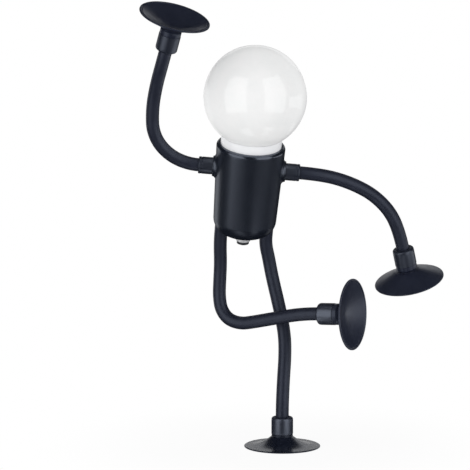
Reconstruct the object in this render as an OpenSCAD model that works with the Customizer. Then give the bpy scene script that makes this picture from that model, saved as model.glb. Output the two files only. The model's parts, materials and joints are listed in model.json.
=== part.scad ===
// Night light shaped like a little figure: a globe bulb for a head, a moulded body, and four bendable limbs
// that end in suction cups. It stands on one leg. The origin is the middle of that leg's cup, on the surface
// that it grips, with +Z up, +X to the right and the front of the figure facing -Y.

/* [Body] */
// Height of the body, from its bottom face to its rim
body_h = 58; // [54:0.5:66]
// Wall of the body
body_wall = 2.4; // [2.1:0.1:3]
// Slope of the body's side, in degrees
body_draft = 2.1; // [1.6:0.1:2.6]
// Thickness of the body's floor
floor_t = 2.5; // [2:0.1:3.5]
// Radius of the rounded bottom edge
bottom_round = 7; // [5:0.5:8]
// Radius of the rounded rim
rim_round = 2; // [1:0.1:2]
// Distance of the arms below the rim
shoulder_drop = 16; // [15:0.5:20]
// Height of the sockets that the legs go into
leg_socket = 8; // [6:0.5:9]
// Body left between a leg and the outside of the body
leg_edge = 1; // [0.8:0.1:1.8]

/* [Bulb] */
// Diameter of the globe
globe_d = 61.5; // [56:0.5:68]
// Wall of the globe
globe_t = 1.3; // [1:0.1:2]
// Diameter of the white collar
neck_d = 36.4; // [34.6:0.2:38.4]
// Height of the collar that shows above the rim
neck_h = 5.4; // [4:0.2:8]
// Wall of the collar
neck_t = 1.5; // [1.2:0.1:2]
// Depth of the collar inside the body's mouth
collar_depth = 7; // [5:0.5:8]
// Thickness of the plate that carries the LED board
carrier_t = 2; // [1.5:0.1:2.5]

/* [Limbs] */
// Diameter of the sleeves
sleeve_d = 7.9; // [7.4:0.1:8.4]
// Diameter of the metal cores
core_d = 4; // [3:0.1:4.6]
// Wall of the shoulder ferrules
shoulder_wall = 1.15; // [1:0.05:2]
// Length of the shoulder ferrules outside the body
shoulder_l = 8.5; // [6:0.5:11]
// Wall of the end ferrules round the sleeve
ferrule_wall = 2.55; // [2.2:0.05:3]
// Length of the end ferrules
ferrule_l = 10.4; // [10.2:0.1:13]
// Depth of the sleeve in an end ferrule
ferrule_grip = 5.2; // [4:0.2:5.4]

/* [Cups] */
// Diameter of a relaxed cup
cup_d = 42.6; // [38:0.2:48]
// Height of a relaxed cup, from its rim to its ferrule
cup_h = 11.6; // [11.2:0.1:13]
// Depth of the hollow of a relaxed cup
cup_hollow = 5; // [4:0.1:5.4]
// Thickness of a relaxed cup's edge
cup_lip = 0.7; // [0.5:0.1:1.2]
// Width of the flat land on a cup's rim
cup_land = 0.9; // [0.6:0.1:1.5]
// Diameter of the cup that is pressed flat under the standing leg
foot_d = 46; // [42:0.2:50]
// Height of the pressed cup
foot_h = 7.8; // [7.4:0.1:9]
// Depth of the hollow of the pressed cup
foot_hollow = 1.8; // [1:0.1:2.2]
// Thickness of the pressed cup's edge
foot_lip = 0.9; // [0.6:0.1:1.4]
// Length of a cup's stud inside its ferrule
stud_grip = 4; // [3.4:0.1:4.2]

/* [Switch] */
// Diameter of the push button's cap
cap_d = 7.4; // [6.4:0.1:8]
// Distance that the cap reaches below the body
cap_reach = 7.3; // [6.6:0.1:8]
// Travel of the push button
cap_travel = 1.2; // [0.6:0.1:1.4]
// Length of the bezel below the body
bezel_h = 4.6; // [4:0.1:5.2]
// Wall of the bezel round the cap
bezel_wall = 0.5; // [0.4:0.05:1]

/* [Inside] */
// Size of the battery cell: width, thickness and height
cell = [24, 5, 28]; // [1:0.5:40]
// Size of the control board: width, thickness and height
board = [22, 1.6, 28]; // [1:0.1:40]
// Height of the charging socket above the bottom face
socket_h = 20; // [18:0.5:26]
// Thickness of the leg deck
deck_t = 4; // [3.4:0.1:5]
// Radius of the posts that hold the lamp carrier
post_r = 2.4; // [2:0.1:2.6]

/* [Pose] */
// Place of the middle of the body's bottom face, to the right
body_x = -23.4; // [-26:0.1:-20]
// Place of the middle of the body's bottom face, to the back
body_y = 12; // [8:0.5:16]
// Place of the middle of the body's bottom face, upwards
body_z = 128.5; // [124:0.5:132]
// Lean of the body to the front, in degrees
lean_front = 15; // [10:0.5:18]
// Lean of the body to the right, in degrees
lean_side = 4.6; // [2:0.2:7]
// Height of the raised arm's end ferrule
raised_hand_z = 242; // [236:0.5:248]
// Reach of the lowered arm's end ferrule, to the right
lowered_hand_x = 73.5; // [70:0.5:77]
// Reach of the raised leg's end ferrule, to the right
raised_foot_x = 21.7; // [18:0.5:25]

/* [Clearances] */
// Radial clearance of pieces that are fixed in each other
fit = 0.05; // [0.03:0.01:0.1]
// Radial clearance of the push button's stem
running_fit = 0.08; // [0.05:0.01:0.1]
// Clearance of a sleeve's bend point, between the ball and its seat's edge
bend_gap = 0.35; // [0.3:0.05:0.5]
// Clearance of pieces that stand beside each other
beside = 0.3; // [0.2:0.05:0.5]

/* [Hidden] */
$fn = 64;
BLACK = "#20252e";
SLEEVE = "#1b1f2a";
RUBBER = "#2a2d33";
WHITE = "#f1f2f3";
STEEL = "#c9ccd0";
CORE = "#a9adb3";
GREEN = "#2f6b4a";

// Body: radii, heights and the places of what it holds
mouth_r = neck_d / 2 + 3 * fit;
rim_r = mouth_r + body_wall;
function side_r(z) = rim_r - (body_h - z) * tan(body_draft);
function inside_r(z) = side_r(z) - body_wall;
seat_z = body_h - collar_depth - carrier_t;
shoulder_z = body_h - shoulder_drop;
sleeve_r = sleeve_d / 2;
core_r = core_d / 2;
bore_r = core_r + fit;
hip_x = side_r(0) - leg_edge - sleeve_r;
socket_wall = 1.15;
deck_z = leg_socket + 1.5;
deck_top = deck_z + deck_t;
post_ring = inside_r(seat_z) - 4.2;
post_angles = [30, 150, 270];
rib_t = 1.6;

// Shoulders: boss on the body, ferrule, spigot through the wall and its nut
shoulder_r = sleeve_r + fit + shoulder_wall;
spigot_r = shoulder_r - 0.4;
boss_x = side_r(shoulder_z) + 1.7;
boss_r = shoulder_r + 0.9;
boss_foot_r = boss_r + 1.6;
pad_x = inside_r(shoulder_z) - 1.2;
pad_r = shoulder_r + 1.6;
nut_t = 2.2;
nut_r = shoulder_r + 1;
spigot_x = pad_x - nut_t - 0.4;
shoulder_x = boss_x + shoulder_l;

// Inner block that clamps the arms' cores
bridge_x = spigot_x - beside;
bridge_y = core_r + 1.4;
bridge_z = core_r + 3;
bridge_core_x = 3;
screw_r = 1.25;

// Bulb
neck_r = neck_d / 2;
globe_r = globe_d / 2;
globe_z = body_h + neck_h + sqrt(pow(globe_r, 2) - pow(neck_r, 2));
carrier_z = seat_z + carrier_t;
spigot_tube_r = neck_r - neck_t - 2 * fit;
head_r = 1.9;
head_t = 1.4;
led_board_r = post_ring - head_r - 0.2;
led_board_t = 1.2;
led_size = [3, 3, 0.7];
led_ring = led_board_r * 0.65;
led_count = 8;

// Switch
cap_r = cap_d / 2;
stem_r = 1.5;
neck_bush_r = 3;
neck_bush_h = 2.4;
switch_r = 6;
switch_h = 11;
bezel_r = cap_r + 0.25 + bezel_wall;
cap_back = -neck_bush_h - cap_travel - beside;

// Inside
board_y = post_ring * sin(post_angles[0]) + post_r + beside;
cell_y = bridge_y + 1;
socket_w = 9;
socket_t = 3.2;
socket_recess = 0.8;
lead_r = 0.6;
lead_x = 2.5;
lead_y = board_y - lead_r - fit;
lead_start = deck_top + board.z * 0.85;

// Cups and studs
cup_r = cup_d / 2;
foot_r = foot_d / 2;
ferrule_r = sleeve_r + fit + ferrule_wall;
cup_neck_r = ferrule_r - 0.5;
cup_neck_h = 4.2;
foot_neck_h = 2.2;
bell_top_r = ferrule_r + 0.1;
bell_bulge = 0.6;
stud_r = 2;
stud_head_r = 3.2;
stud_head_t = 1.2;
stud_cover = 0.7;

// Bend points of the sleeves: a ball end on one side, a hollow seat on the other
ball_r = sleeve_r - 0.2;
seat_r = sleeve_r + bend_gap;
lap = 0.3;
lap_step = 0.04;

// Directions and places in the leaning body
function turn_x(v, a) = [v.x, v.y * cos(a) - v.z * sin(a), v.y * sin(a) + v.z * cos(a)];
function turn_y(v, a) = [v.x * cos(a) + v.z * sin(a), v.y, v.z * cos(a) - v.x * sin(a)];
function body_dir(v) = turn_y(turn_x(v, lean_front), lean_side);
function body_point(p) = [body_x, body_y, body_z] + body_dir(p);

// A frame with its origin at p and +Z along the direction t
function unit(v) = v / norm(v);
function matrix(p, x, y, z) =
    [[x.x, y.x, z.x, p.x], [x.y, y.y, z.y, p.y], [x.z, y.z, z.z, p.z], [0, 0, 0, 1]];
function side_of(t) = unit(cross(abs(t.z) < 0.9 ? [0, 0, 1] : [0, 1, 0], t));
function frame(p, t) = matrix(p, side_of(t), cross(t, side_of(t)), t);

// A route is a list of [place, direction]. Two arcs that share a tangent join each place to the next, and a
// run is one such arc or straight piece: [start, direction at the start, end].
function knot(p, d) = [p, unit(d)];
function arc_reach(v, t0, t1) = let (k = 2 * (1 - t0 * t1), b = v * (t0 + t1))
    k < 1e-6 ? v * v / (2 * b) : (sqrt(b * b + k * (v * v)) - b) / k;
function two_arcs(p0, t0, p1, t1) = let (d = arc_reach(p1 - p0, t0, t1), q0 = p0 + d * t0, q1 = p1 - d * t1)
    [[p0, t0, (q0 + q1) / 2], [(q0 + q1) / 2, unit(q1 - q0), p1]];
function is_straight(a, b) = norm(cross(unit(b[0] - a[0]), a[1])) + norm(cross(a[1], b[1])) < 1e-5;
function span(a, b) = is_straight(a, b) ? [[a[0], a[1], b[0]]] : two_arcs(a[0], a[1], b[0], b[1]);
function runs(route, first, last) = [for (i = [first : last - 1]) each span(route[i], route[i + 1])];

// The four limbs as they are posed: each has its route from the body to its cup, the numbers of its two
// bend points on that route, the length of core that is clamped in the body, and the height of its cup
function arm_root(side) = [
    knot(body_point([side * spigot_x, 0, shoulder_z]), body_dir([side, 0, 0])),
    knot(body_point([side * shoulder_x, 0, shoulder_z]), body_dir([side, 0, 0])),
];
function leg_root(side) = [
    knot(body_point([side * hip_x, 0, leg_socket]), body_dir([0, 0, -1])),
    knot(body_point([side * hip_x, 0, -1]), body_dir([0, 0, -1])),
];
function tip(p, d) = [knot(p, d), knot(p + ferrule_grip * unit(d), d)];
arm_grip = spigot_x - bridge_core_x;
leg_grip = deck_top - leg_socket - beside;

raised_arm = [concat(arm_root(-1), [
    knot([-72.3, -2, 182.7], [-0.61, -0.2, 0.77]),
    knot([-76.4, -10.5, raised_hand_z - 28.2], [0.17, -0.34, 0.92]),
], tip([-69.3, -23, raised_hand_z], [0.25, -0.28, 0.93])), [2, 3], arm_grip, cup_h];

lowered_arm = [concat(arm_root(1), [
    knot([35, 6, 161.6], [0.88, 0.34, -0.32]),
    knot([lowered_hand_x - 11.3, 18.5, 143.8], [0.62, 0.29, -0.73]),
], tip([lowered_hand_x, 26.2, 117.2], [0.2, 0.26, -0.94])), [2, 3], arm_grip, cup_h];

raised_leg = [concat(leg_root(-1), [
    knot([-37.6, 18, 103], [-0.05, 0.1, -1]),
    knot([-37.5, 17, 84.8], [0.15, -0.2, -0.97]),
    knot([-29.5, 12, 74.7], [0.87, -0.43, -0.26]),
    knot([-13.5, 3, 76.4], [0.85, -0.48, 0.23]),
], tip([raised_foot_x, -16.3, 83.8], [0.91, -0.41, 0.05])), [2, 5], leg_grip, cup_h];

standing_leg = [concat(leg_root(1), [
    knot([-7.5, 15.5, 109], [0.18, 0.02, -0.98]),
    knot([-1.6, 12, 82.5], [0.22, -0.2, -0.96]),
    knot([1.6, 7, 60], [0.01, -0.22, -0.97]),
    knot([0.5, 2, 36], [-0.05, -0.14, -0.99]),
], tip([0, 0, foot_h + ferrule_l], [0, 0, -1])), [2, 5], leg_grip, foot_h, [[0, 1, 0], [1, 0, 0]]];

function route(limb) = limb[0];
function bends(limb) = limb[1];
function cup_height(limb) = limb[3];
function stops(limb) = [0, bends(limb)[0], bends(limb)[1], len(route(limb)) - 1];
function tip_knot(limb) = route(limb)[len(route(limb)) - 2];

// Joint axes: a limb bends about the normal of its own plane, and swings about the line across it in that
// plane. The standing leg has its own: it leans to the sides at the hip, and to the front at the ankle.
function bend_at(limb, i) = route(limb)[bends(limb)[i]];
function plane_normal(limb) = unit(cross(bend_at(limb, 0)[1], tip_knot(limb)[0] - bend_at(limb, 0)[0]));
function across(t, n) = unit(cross(cross(t, n), t));
function bend_axis(limb) = is_undef(limb[4]) ? across(bend_at(limb, 1)[1], plane_normal(limb)) : limb[4][1];
function swing_axis(limb) = is_undef(limb[4]) ? unit(cross(bend_at(limb, 0)[1], plane_normal(limb))) : limb[4][0];
function rim_centre(limb) = tip_knot(limb)[0] + (ferrule_l + cup_height(limb)) * tip_knot(limb)[1];

LIMBS = [["raised_arm", raised_arm], ["lowered_arm", lowered_arm],
    ["raised_leg", raised_leg], ["standing_leg", standing_leg]];
STRETCHES = ["root", "middle", "end"];
BODY_NODES = ["body_shell", "raised_shoulder_ferrule", "lowered_shoulder_ferrule", "shoulder_nuts",
    "arm_bridge", "leg_deck", "clamp_screws", "lamp_carrier", "carrier_screws", "led_board", "leds",
    "bulb_collar", "bulb_globe", "battery_cell", "control_board", "board_components", "charging_socket",
    "led_leads", "switch_body", "switch_bezel", "switch_button"];
function limb_nodes(name) = concat(
    [for (s = STRETCHES) str(name, "_sleeve_", s)],
    [for (s = STRETCHES) str(name, "_core_", s)],
    [for (s = ["ferrule", "cup", "stud"]) str(name, "_", s)]);

// General shapes
function arc_points(c, r, from, to, steps = 12) =
    [for (i = [0 : steps]) let (a = from + (to - from) * i / steps) c + r * [cos(a), sin(a)]];

module revolve(points) {
    rotate_extrude() polygon(points);
}

module ring(outer, inner, h) {
    difference() {
        cylinder(r = outer, h = h);
        translate([0, 0, -1]) cylinder(r = inner, h = h + 2);
    }
}

module in_body() {
    translate([body_x, body_y, body_z]) rotate([lean_front, lean_side, 0]) children();
}

module on_side(side) {
    rotate([0, side * 90, 0]) children();
}

module at_posts() {
    for (a = post_angles) rotate(a) translate([post_ring, 0, 0]) children();
}

// Body shell
module body_outside() {
    corner_x = side_r(bottom_round) - bottom_round / cos(body_draft);
    corner = [corner_x, bottom_round];
    rim = [rim_r - rim_round, body_h - rim_round];
    revolve(concat([[0, 0]], arc_points(corner, bottom_round, -90, -body_draft, 24),
        arc_points(rim, rim_round, -body_draft, 90, 16), [[0, body_h]]));
    for (side = [-1, 1]) translate([0, 0, shoulder_z]) on_side(side)
        translate([0, 0, inside_r(shoulder_z)])
            cylinder(r1 = boss_foot_r, r2 = boss_r, h = boss_x - inside_r(shoulder_z));
}

module body_hollow() {
    round_r = max(bottom_round - body_wall, 1);
    corner = [inside_r(floor_t + round_r) - round_r, floor_t + round_r];
    revolve(concat([[0, floor_t]], arc_points(corner, round_r, -90, 0, 8),
        [[inside_r(seat_z), seat_z], [inside_r(seat_z), seat_z + 1], [0, seat_z + 1]]));
}

module body_keeps() {
    for (side = [-1, 1]) {
        translate([side * hip_x, 0, 0]) cylinder(r = sleeve_r + fit + socket_wall, h = deck_z);
        translate([0, 0, shoulder_z]) on_side(side) translate([0, 0, pad_x]) cylinder(r = pad_r, h = 5);
    }
    at_posts() cylinder(r = post_r, h = seat_z + 2);
    for (a = post_angles) rotate(a) translate([post_ring, -rib_t / 2, 0]) cube([6, rib_t, seat_z - 1]);
}

module socket_outline(grow) {
    for (side = [-1, 1]) translate([side * (socket_w - socket_t) / 2, 0]) circle(socket_t / 2 + grow);
    square([socket_w - socket_t, socket_t + 2 * grow], center = true);
}

module body_shell() {
    color(BLACK) in_body() difference() {
        body_outside();
        difference() {
            body_hollow();
            body_keeps();
        }
        translate([0, 0, seat_z]) cylinder(r = mouth_r, h = body_h);
        translate([0, 0, -1]) cylinder(r = neck_bush_r + fit, h = floor_t + 2);
        for (side = [-1, 1]) {
            translate([side * hip_x, 0, -1]) cylinder(r = sleeve_r + fit, h = leg_socket + 1);
            translate([side * hip_x, 0, 0]) cylinder(r = bore_r, h = deck_z + 1);
            translate([0, 0, shoulder_z]) on_side(side) translate([0, 0, spigot_x])
                cylinder(r = spigot_r + fit, h = boss_x);
        }
        at_posts() translate([0, 0, seat_z - 8]) cylinder(r = 0.9, h = 9);
        translate([0, board_y, socket_h]) rotate([-90, 0, 0]) linear_extrude(rim_r) socket_outline(0.15);
    }
}

// Shoulders
module shoulder_ferrule(side) {
    color(BLACK) in_body() translate([0, 0, shoulder_z]) on_side(side) difference() {
        revolve([[0, spigot_x], [spigot_r, spigot_x], [spigot_r, boss_x], [shoulder_r + 0.6, boss_x],
            [shoulder_r + 0.6, boss_x + 0.5], [shoulder_r, boss_x + 1.1], [shoulder_r, shoulder_x - 0.8],
            [shoulder_r - 0.7, shoulder_x], [0, shoulder_x]]);
        translate([0, 0, spigot_x - 1]) cylinder(r = sleeve_r + fit, h = shoulder_x);
    }
}

module shoulder_nuts() {
    color(STEEL) in_body() for (side = [-1, 1]) translate([0, 0, shoulder_z]) on_side(side)
        translate([0, 0, pad_x - nut_t]) ring(nut_r, spigot_r + fit, nut_t);
}

// Clamps for the cores
module arm_bridge() {
    color(BLACK) in_body() translate([0, 0, shoulder_z]) difference() {
        union() {
            translate([-bridge_x, -bridge_y, -bridge_z]) cube([2 * bridge_x, 2 * bridge_y, 2 * bridge_z]);
            translate([-4, -bridge_y, 0]) cube([8, 2 * bridge_y, seat_z - shoulder_z]);
        }
        for (side = [-1, 1]) {
            on_side(side) translate([0, 0, bridge_core_x - beside]) cylinder(r = bore_r, h = bridge_x);
            translate([side * bridge_x * 0.6, 0, 0]) cylinder(r = screw_r + fit, h = bridge_z + 1);
        }
        translate([0, 0, seat_z - shoulder_z - 5]) cylinder(r = 1 + fit, h = 6);
    }
}

module leg_deck() {
    color(BLACK) in_body() difference() {
        translate([0, 0, deck_z]) cylinder(r = inside_r(deck_z) - beside, h = deck_t);
        translate([0, 0, deck_z - 1]) cylinder(r = switch_r + beside, h = deck_t + 2);
        for (side = [-1, 1]) translate([side * hip_x, 0, deck_z]) {
            translate([0, 0, -1]) cylinder(r = bore_r, h = deck_t + 2);
            translate([0, 0, deck_t / 2]) rotate([90, 0, 0]) cylinder(r = screw_r + fit, h = rim_r);
        }
        at_posts() cylinder(r = post_r + beside, h = body_h);
        for (a = post_angles) rotate(a) translate([post_ring, -rib_t / 2 - beside, 0])
            cube([rim_r, rib_t + 2 * beside, body_h]);
    }
}

module clamp_screws() {
    color(STEEL) in_body() for (side = [-1, 1]) {
        translate([side * bridge_x * 0.6, 0, shoulder_z + core_r + fit]) cylinder(r = screw_r, h = 3 - fit);
        translate([side * hip_x, -core_r - fit, deck_z + deck_t / 2]) rotate([90, 0, 0])
            cylinder(r = screw_r, h = 5);
    }
}

// Lamp
module lamp_carrier() {
    color(WHITE) in_body() translate([0, 0, seat_z]) difference() {
        cylinder(r = mouth_r - fit, h = carrier_t);
        at_posts() translate([0, 0, -1]) cylinder(r = 1.1, h = carrier_t + 2);
        translate([0, 0, -1]) cylinder(r = 1.1, h = carrier_t + 2);
        translate([0, 0, carrier_t - head_t - fit]) cylinder(r = head_r + fit, h = carrier_t);
        for (side = [-1, 1]) translate([side * lead_x, lead_y, -1])
            cylinder(r = lead_r + fit, h = carrier_t + 2);
    }
}

module screw(length) {
    cylinder(r = head_r, h = head_t);
    translate([0, 0, -length]) cylinder(r = 0.9 - fit, h = length + 0.1);
}

module carrier_screws() {
    color(STEEL) in_body() {
        at_posts() translate([0, 0, carrier_z]) screw(carrier_t + 6);
        translate([0, 0, carrier_z - head_t - fit / 2]) screw(4);
    }
}

module led_board() {
    color(WHITE) in_body() translate([0, 0, carrier_z]) cylinder(r = led_board_r, h = led_board_t);
}

module leds() {
    color("#f4e27a") in_body() translate([0, 0, carrier_z + led_board_t]) {
        translate([0, 0, led_size.z / 2]) cube(led_size, center = true);
        for (i = [0 : led_count - 1]) rotate(i * 360 / led_count) translate([led_ring, 0, led_size.z / 2])
            cube(led_size, center = true);
    }
}

module bulb_collar() {
    color(WHITE) in_body() difference() {
        translate([0, 0, carrier_z]) cylinder(r = neck_r, h = globe_z - carrier_z);
        translate([0, 0, carrier_z - 1]) cylinder(r = neck_r - neck_t, h = globe_z);
        translate([0, 0, globe_z]) sphere(globe_r + fit);
    }
}

module bulb_globe() {
    foot_z = carrier_z + head_t + 0.8;
    tube_h = globe_z - globe_r / 2 - foot_z;
    color(WHITE) in_body() difference() {
        union() {
            translate([0, 0, globe_z]) sphere(globe_r);
            translate([0, 0, foot_z]) cylinder(r = spigot_tube_r, h = tube_h);
        }
        translate([0, 0, globe_z]) sphere(globe_r - globe_t);
        translate([0, 0, foot_z - 1]) cylinder(r = spigot_tube_r - globe_t, h = tube_h);
    }
}

// Electronics
module battery_cell() {
    color("#3d6fa5") in_body() translate([-cell.x / 2, -cell_y - cell.y, deck_top]) cube(cell);
}

module control_board() {
    color(GREEN) in_body() translate([-board.x / 2, board_y, deck_top]) difference() {
        cube(board);
        for (x = [3, board.x - 3]) translate([x, -1, board.z - 3]) rotate([-90, 0, 0])
            cylinder(r = 1, h = board.y + 2);
    }
}

module board_components() {
    color("#30333a") in_body() translate([0, board_y, deck_top]) {
        translate([-8, -1.4, 6]) cube([5, 1.4, 5]);
        translate([3, -1, 5]) cube([4, 1, 6]);
        translate([-3, -2.2, 14]) cube([6, 2.2, 4]);
    }
}

module charging_socket() {
    length = side_r(socket_h) - socket_recess - board_y - board.y;
    color(STEEL) in_body() translate([0, board_y + board.y, socket_h]) rotate([-90, 0, 0]) difference() {
        linear_extrude(length) socket_outline(0);
        translate([0, 0, 1.2]) linear_extrude(length) difference() {
            socket_outline(-0.35);
            square([socket_w * 0.66, 0.7], center = true);
        }
    }
}

module led_leads() {
    color("firebrick") in_body() for (side = [-1, 1]) translate([side * lead_x, lead_y, lead_start])
        cylinder(r = lead_r, h = carrier_z - lead_start);
}

// Push button
module switch_body() {
    color(BLACK) in_body() difference() {
        union() {
            translate([0, 0, floor_t]) cylinder(r = switch_r, h = switch_h);
            translate([0, 0, -neck_bush_h]) cylinder(r = neck_bush_r, h = neck_bush_h + floor_t + 1);
        }
        translate([0, 0, -neck_bush_h - 1]) cylinder(r = stem_r + running_fit, h = neck_bush_h + floor_t + 7);
    }
}

module switch_bezel() {
    color(STEEL) in_body() difference() {
        revolve([[0, 0], [bezel_r, 0], [bezel_r, -bezel_h + 0.3], [bezel_r - 0.3, -bezel_h], [0, -bezel_h]]);
        translate([0, 0, -bezel_h]) cylinder(r = neck_bush_r + fit, h = bezel_h + 1);
        translate([0, 0, -bezel_h - 1]) cylinder(r = bezel_r - bezel_wall, h = bezel_h - neck_bush_h + 1);
    }
}

module switch_button() {
    dome_r = cap_r * 2;
    dome_z = -cap_reach + dome_r;
    color(BLACK) in_body() {
        intersection() {
            translate([0, 0, -cap_reach - 1]) cylinder(r = cap_r, h = cap_reach + 1 + cap_back);
            translate([0, 0, dome_z]) sphere(dome_r);
        }
        translate([0, 0, cap_back - 1]) cylinder(r = stem_r, h = floor_t + 3.5 + 1 - cap_back);
    }
}

// Limbs: every second run is a hair thinner and laps into its neighbours
module run(leg, before, after) {
    p = leg[0];
    t = leg[1];
    chord = leg[2] - p;
    across = chord - (chord * t) * t;
    if (norm(across) < 0.001) {
        multmatrix(frame(p - before * t, t)) linear_extrude(norm(chord) + before + after) children();
    } else {
        n = unit(across);
        half = atan2(norm(across), chord * t);
        radius = norm(chord) / (2 * sin(half));
        lead_in = before / radius * 180 / PI;
        lead_out = after / radius * 180 / PI;
        multmatrix(matrix(p + radius * n, -n, t, cross(t, n))) rotate(-lead_in)
            rotate_extrude(angle = 2 * half + lead_in + lead_out) translate([radius, 0]) children();
    }
}

module tube(legs, outer, inner) {
    for (i = [0 : len(legs) - 1]) {
        thin = i % 2 == 1;
        step = thin ? lap_step : 0;
        run(legs[i], thin ? lap : 0, thin && i < len(legs) - 1 ? lap : 0) difference() {
            circle(outer - step);
            if (inner > 0) circle(inner + step);
        }
    }
}

module ball_end(at, inner, outer) {
    multmatrix(frame(at[0], at[1])) rotate_extrude() intersection() {
        circle(ball_r);
        translate([inner, -lap]) square([outer - inner, ball_r + lap]);
    }
}

module stretch(limb, i, outer, inner, ball_inner, ball_outer) {
    from = route(limb)[stops(limb)[i]];
    to = route(limb)[stops(limb)[i + 1]];
    difference() {
        union() {
            tube(runs(route(limb), stops(limb)[i], stops(limb)[i + 1]), outer, inner);
            if (i < 2) ball_end(to, ball_inner, ball_outer);
        }
        if (i > 0) translate(from[0]) sphere(seat_r);
    }
}

module sleeve(limb, i) {
    color(SLEEVE) stretch(limb, i, sleeve_r, bore_r, bore_r + 2 * lap_step, ball_r);
}

module core(limb, i) {
    start = route(limb)[0];
    color(CORE) {
        stretch(limb, i, core_r, 0, 0, core_r - 2 * lap_step);
        if (i == 0) multmatrix(frame(start[0] - limb[2] * start[1], start[1]))
            cylinder(r = core_r - lap_step, h = limb[2] + lap);
    }
}

module at_tip(limb) {
    multmatrix(frame(tip_knot(limb)[0], tip_knot(limb)[1])) children();
}

module end_ferrule(limb) {
    color(BLACK) at_tip(limb) difference() {
        revolve(concat([[0, 0]], arc_points([ferrule_r - 1.4, 1.2], 1.2, -90, 0, 8),
            [[ferrule_r, ferrule_l - 0.8], [ferrule_r - 0.5, ferrule_l], [0, ferrule_l]]));
        translate([0, 0, -1]) cylinder(r = sleeve_r + fit, h = ferrule_grip + 1 + fit);
        translate([0, 0, ferrule_l - stud_grip - fit]) cylinder(r = stud_r + fit, h = stud_grip + 1);
    }
}

// Cups, drawn from the rim at z = 0 up to the ferrule
module at_rim(limb) {
    at_tip(limb) translate([0, 0, ferrule_l + cup_height(limb)]) rotate([180, 0, 0]) children();
}

module hollow(r, depth) {
    ball = (r * r + depth * depth) / (2 * depth);
    translate([0, 0, depth - ball]) sphere(ball, $fn = 180);
}

module stud_shape(h, depth, clear) {
    head_z = depth + stud_cover;
    translate([0, 0, head_z - clear]) cylinder(r = stud_head_r + clear, h = stud_head_t + 2 * clear);
    translate([0, 0, head_z]) cylinder(r = stud_r + clear, h = h + stud_grip - head_z);
}

module relaxed_cup() {
    top = [bell_top_r, cup_h - cup_neck_h];
    edge = [cup_r, cup_lip];
    chord = norm(edge - top);
    bell = chord * chord / (8 * bell_bulge) + bell_bulge / 2;
    lean = atan2(edge.x - top.x, top.y - edge.y);
    spread = asin(chord / 2 / bell);
    middle = (top + edge) / 2 - (bell - bell_bulge) * [cos(lean), sin(lean)];
    difference() {
        revolve(concat([[0, 0], [cup_r, 0]], arc_points(middle, bell, lean - spread, lean + spread, 8),
            [[cup_neck_r, top.y + 0.3], [cup_neck_r, cup_h], [0, cup_h]]));
        hollow(cup_r - cup_land, cup_hollow);
        stud_shape(cup_h, cup_hollow, fit);
    }
}

module pressed_cup() {
    flare_r = foot_r * 0.64;
    flare_z = foot_lip + 0.3;
    rise = foot_h - foot_neck_h - flare_z;
    flare = (pow(flare_r - bell_top_r, 2) + rise * rise) / (2 * rise);
    flare_end = atan2(rise - flare, bell_top_r - flare_r);
    difference() {
        revolve(concat([[0, 0], [foot_r, 0], [foot_r, foot_lip * 0.6], [foot_r - 0.5, foot_lip]],
            arc_points([flare_r, flare_z + flare], flare, -90, flare_end),
            [[cup_neck_r, foot_h - foot_neck_h + 0.2], [cup_neck_r, foot_h], [0, foot_h]]));
        hollow(flare_r - 1, foot_hollow);
        stud_shape(foot_h, foot_hollow, fit);
    }
}

module cup(limb) {
    color(RUBBER) at_rim(limb) {
        if (cup_height(limb) == foot_h) pressed_cup();
        else relaxed_cup();
    }
}

module stud(limb) {
    depth = cup_height(limb) == foot_h ? foot_hollow : cup_hollow;
    color(STEEL) at_rim(limb) stud_shape(cup_height(limb), depth, 0);
}

// Where the joints and the cups' rims are, in millimetres
for (limb = LIMBS) {
    echo(limb = limb[0], swing_at = bend_at(limb[1], 0)[0], swing_axis = swing_axis(limb[1]));
    echo(limb = limb[0], bend_at = bend_at(limb[1], 1)[0], bend_axis = bend_axis(limb[1]));
    echo(limb = limb[0], rim_at = rim_centre(limb[1]), rim_axis = tip_knot(limb[1])[1]);
}
echo(button_axis = body_dir([0, 0, 1]));

body_shell();
shoulder_ferrule(-1);  // raised_shoulder_ferrule
shoulder_ferrule(1);  // lowered_shoulder_ferrule
shoulder_nuts();
arm_bridge();
leg_deck();
clamp_screws();
lamp_carrier();
carrier_screws();
led_board();
leds();
bulb_collar();
bulb_globe();
battery_cell();
control_board();
board_components();
charging_socket();
led_leads();
switch_body();
switch_bezel();
switch_button();
for (limb = LIMBS) {
    for (i = [0 : 2]) {
        sleeve(limb[1], i);
        core(limb[1], i);
    }
    end_ferrule(limb[1]);
    cup(limb[1]);
    stud(limb[1]);
}
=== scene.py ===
"""Look of the suction cup night light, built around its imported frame.

Routes and outlines are in millimetres. Meshes, lamps and the camera are in metres.
"""

import json
import logging
import math
from dataclasses import dataclass, field
from enum import Enum
from typing import Any, Callable, Iterable, Optional, Sequence, Union

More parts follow.
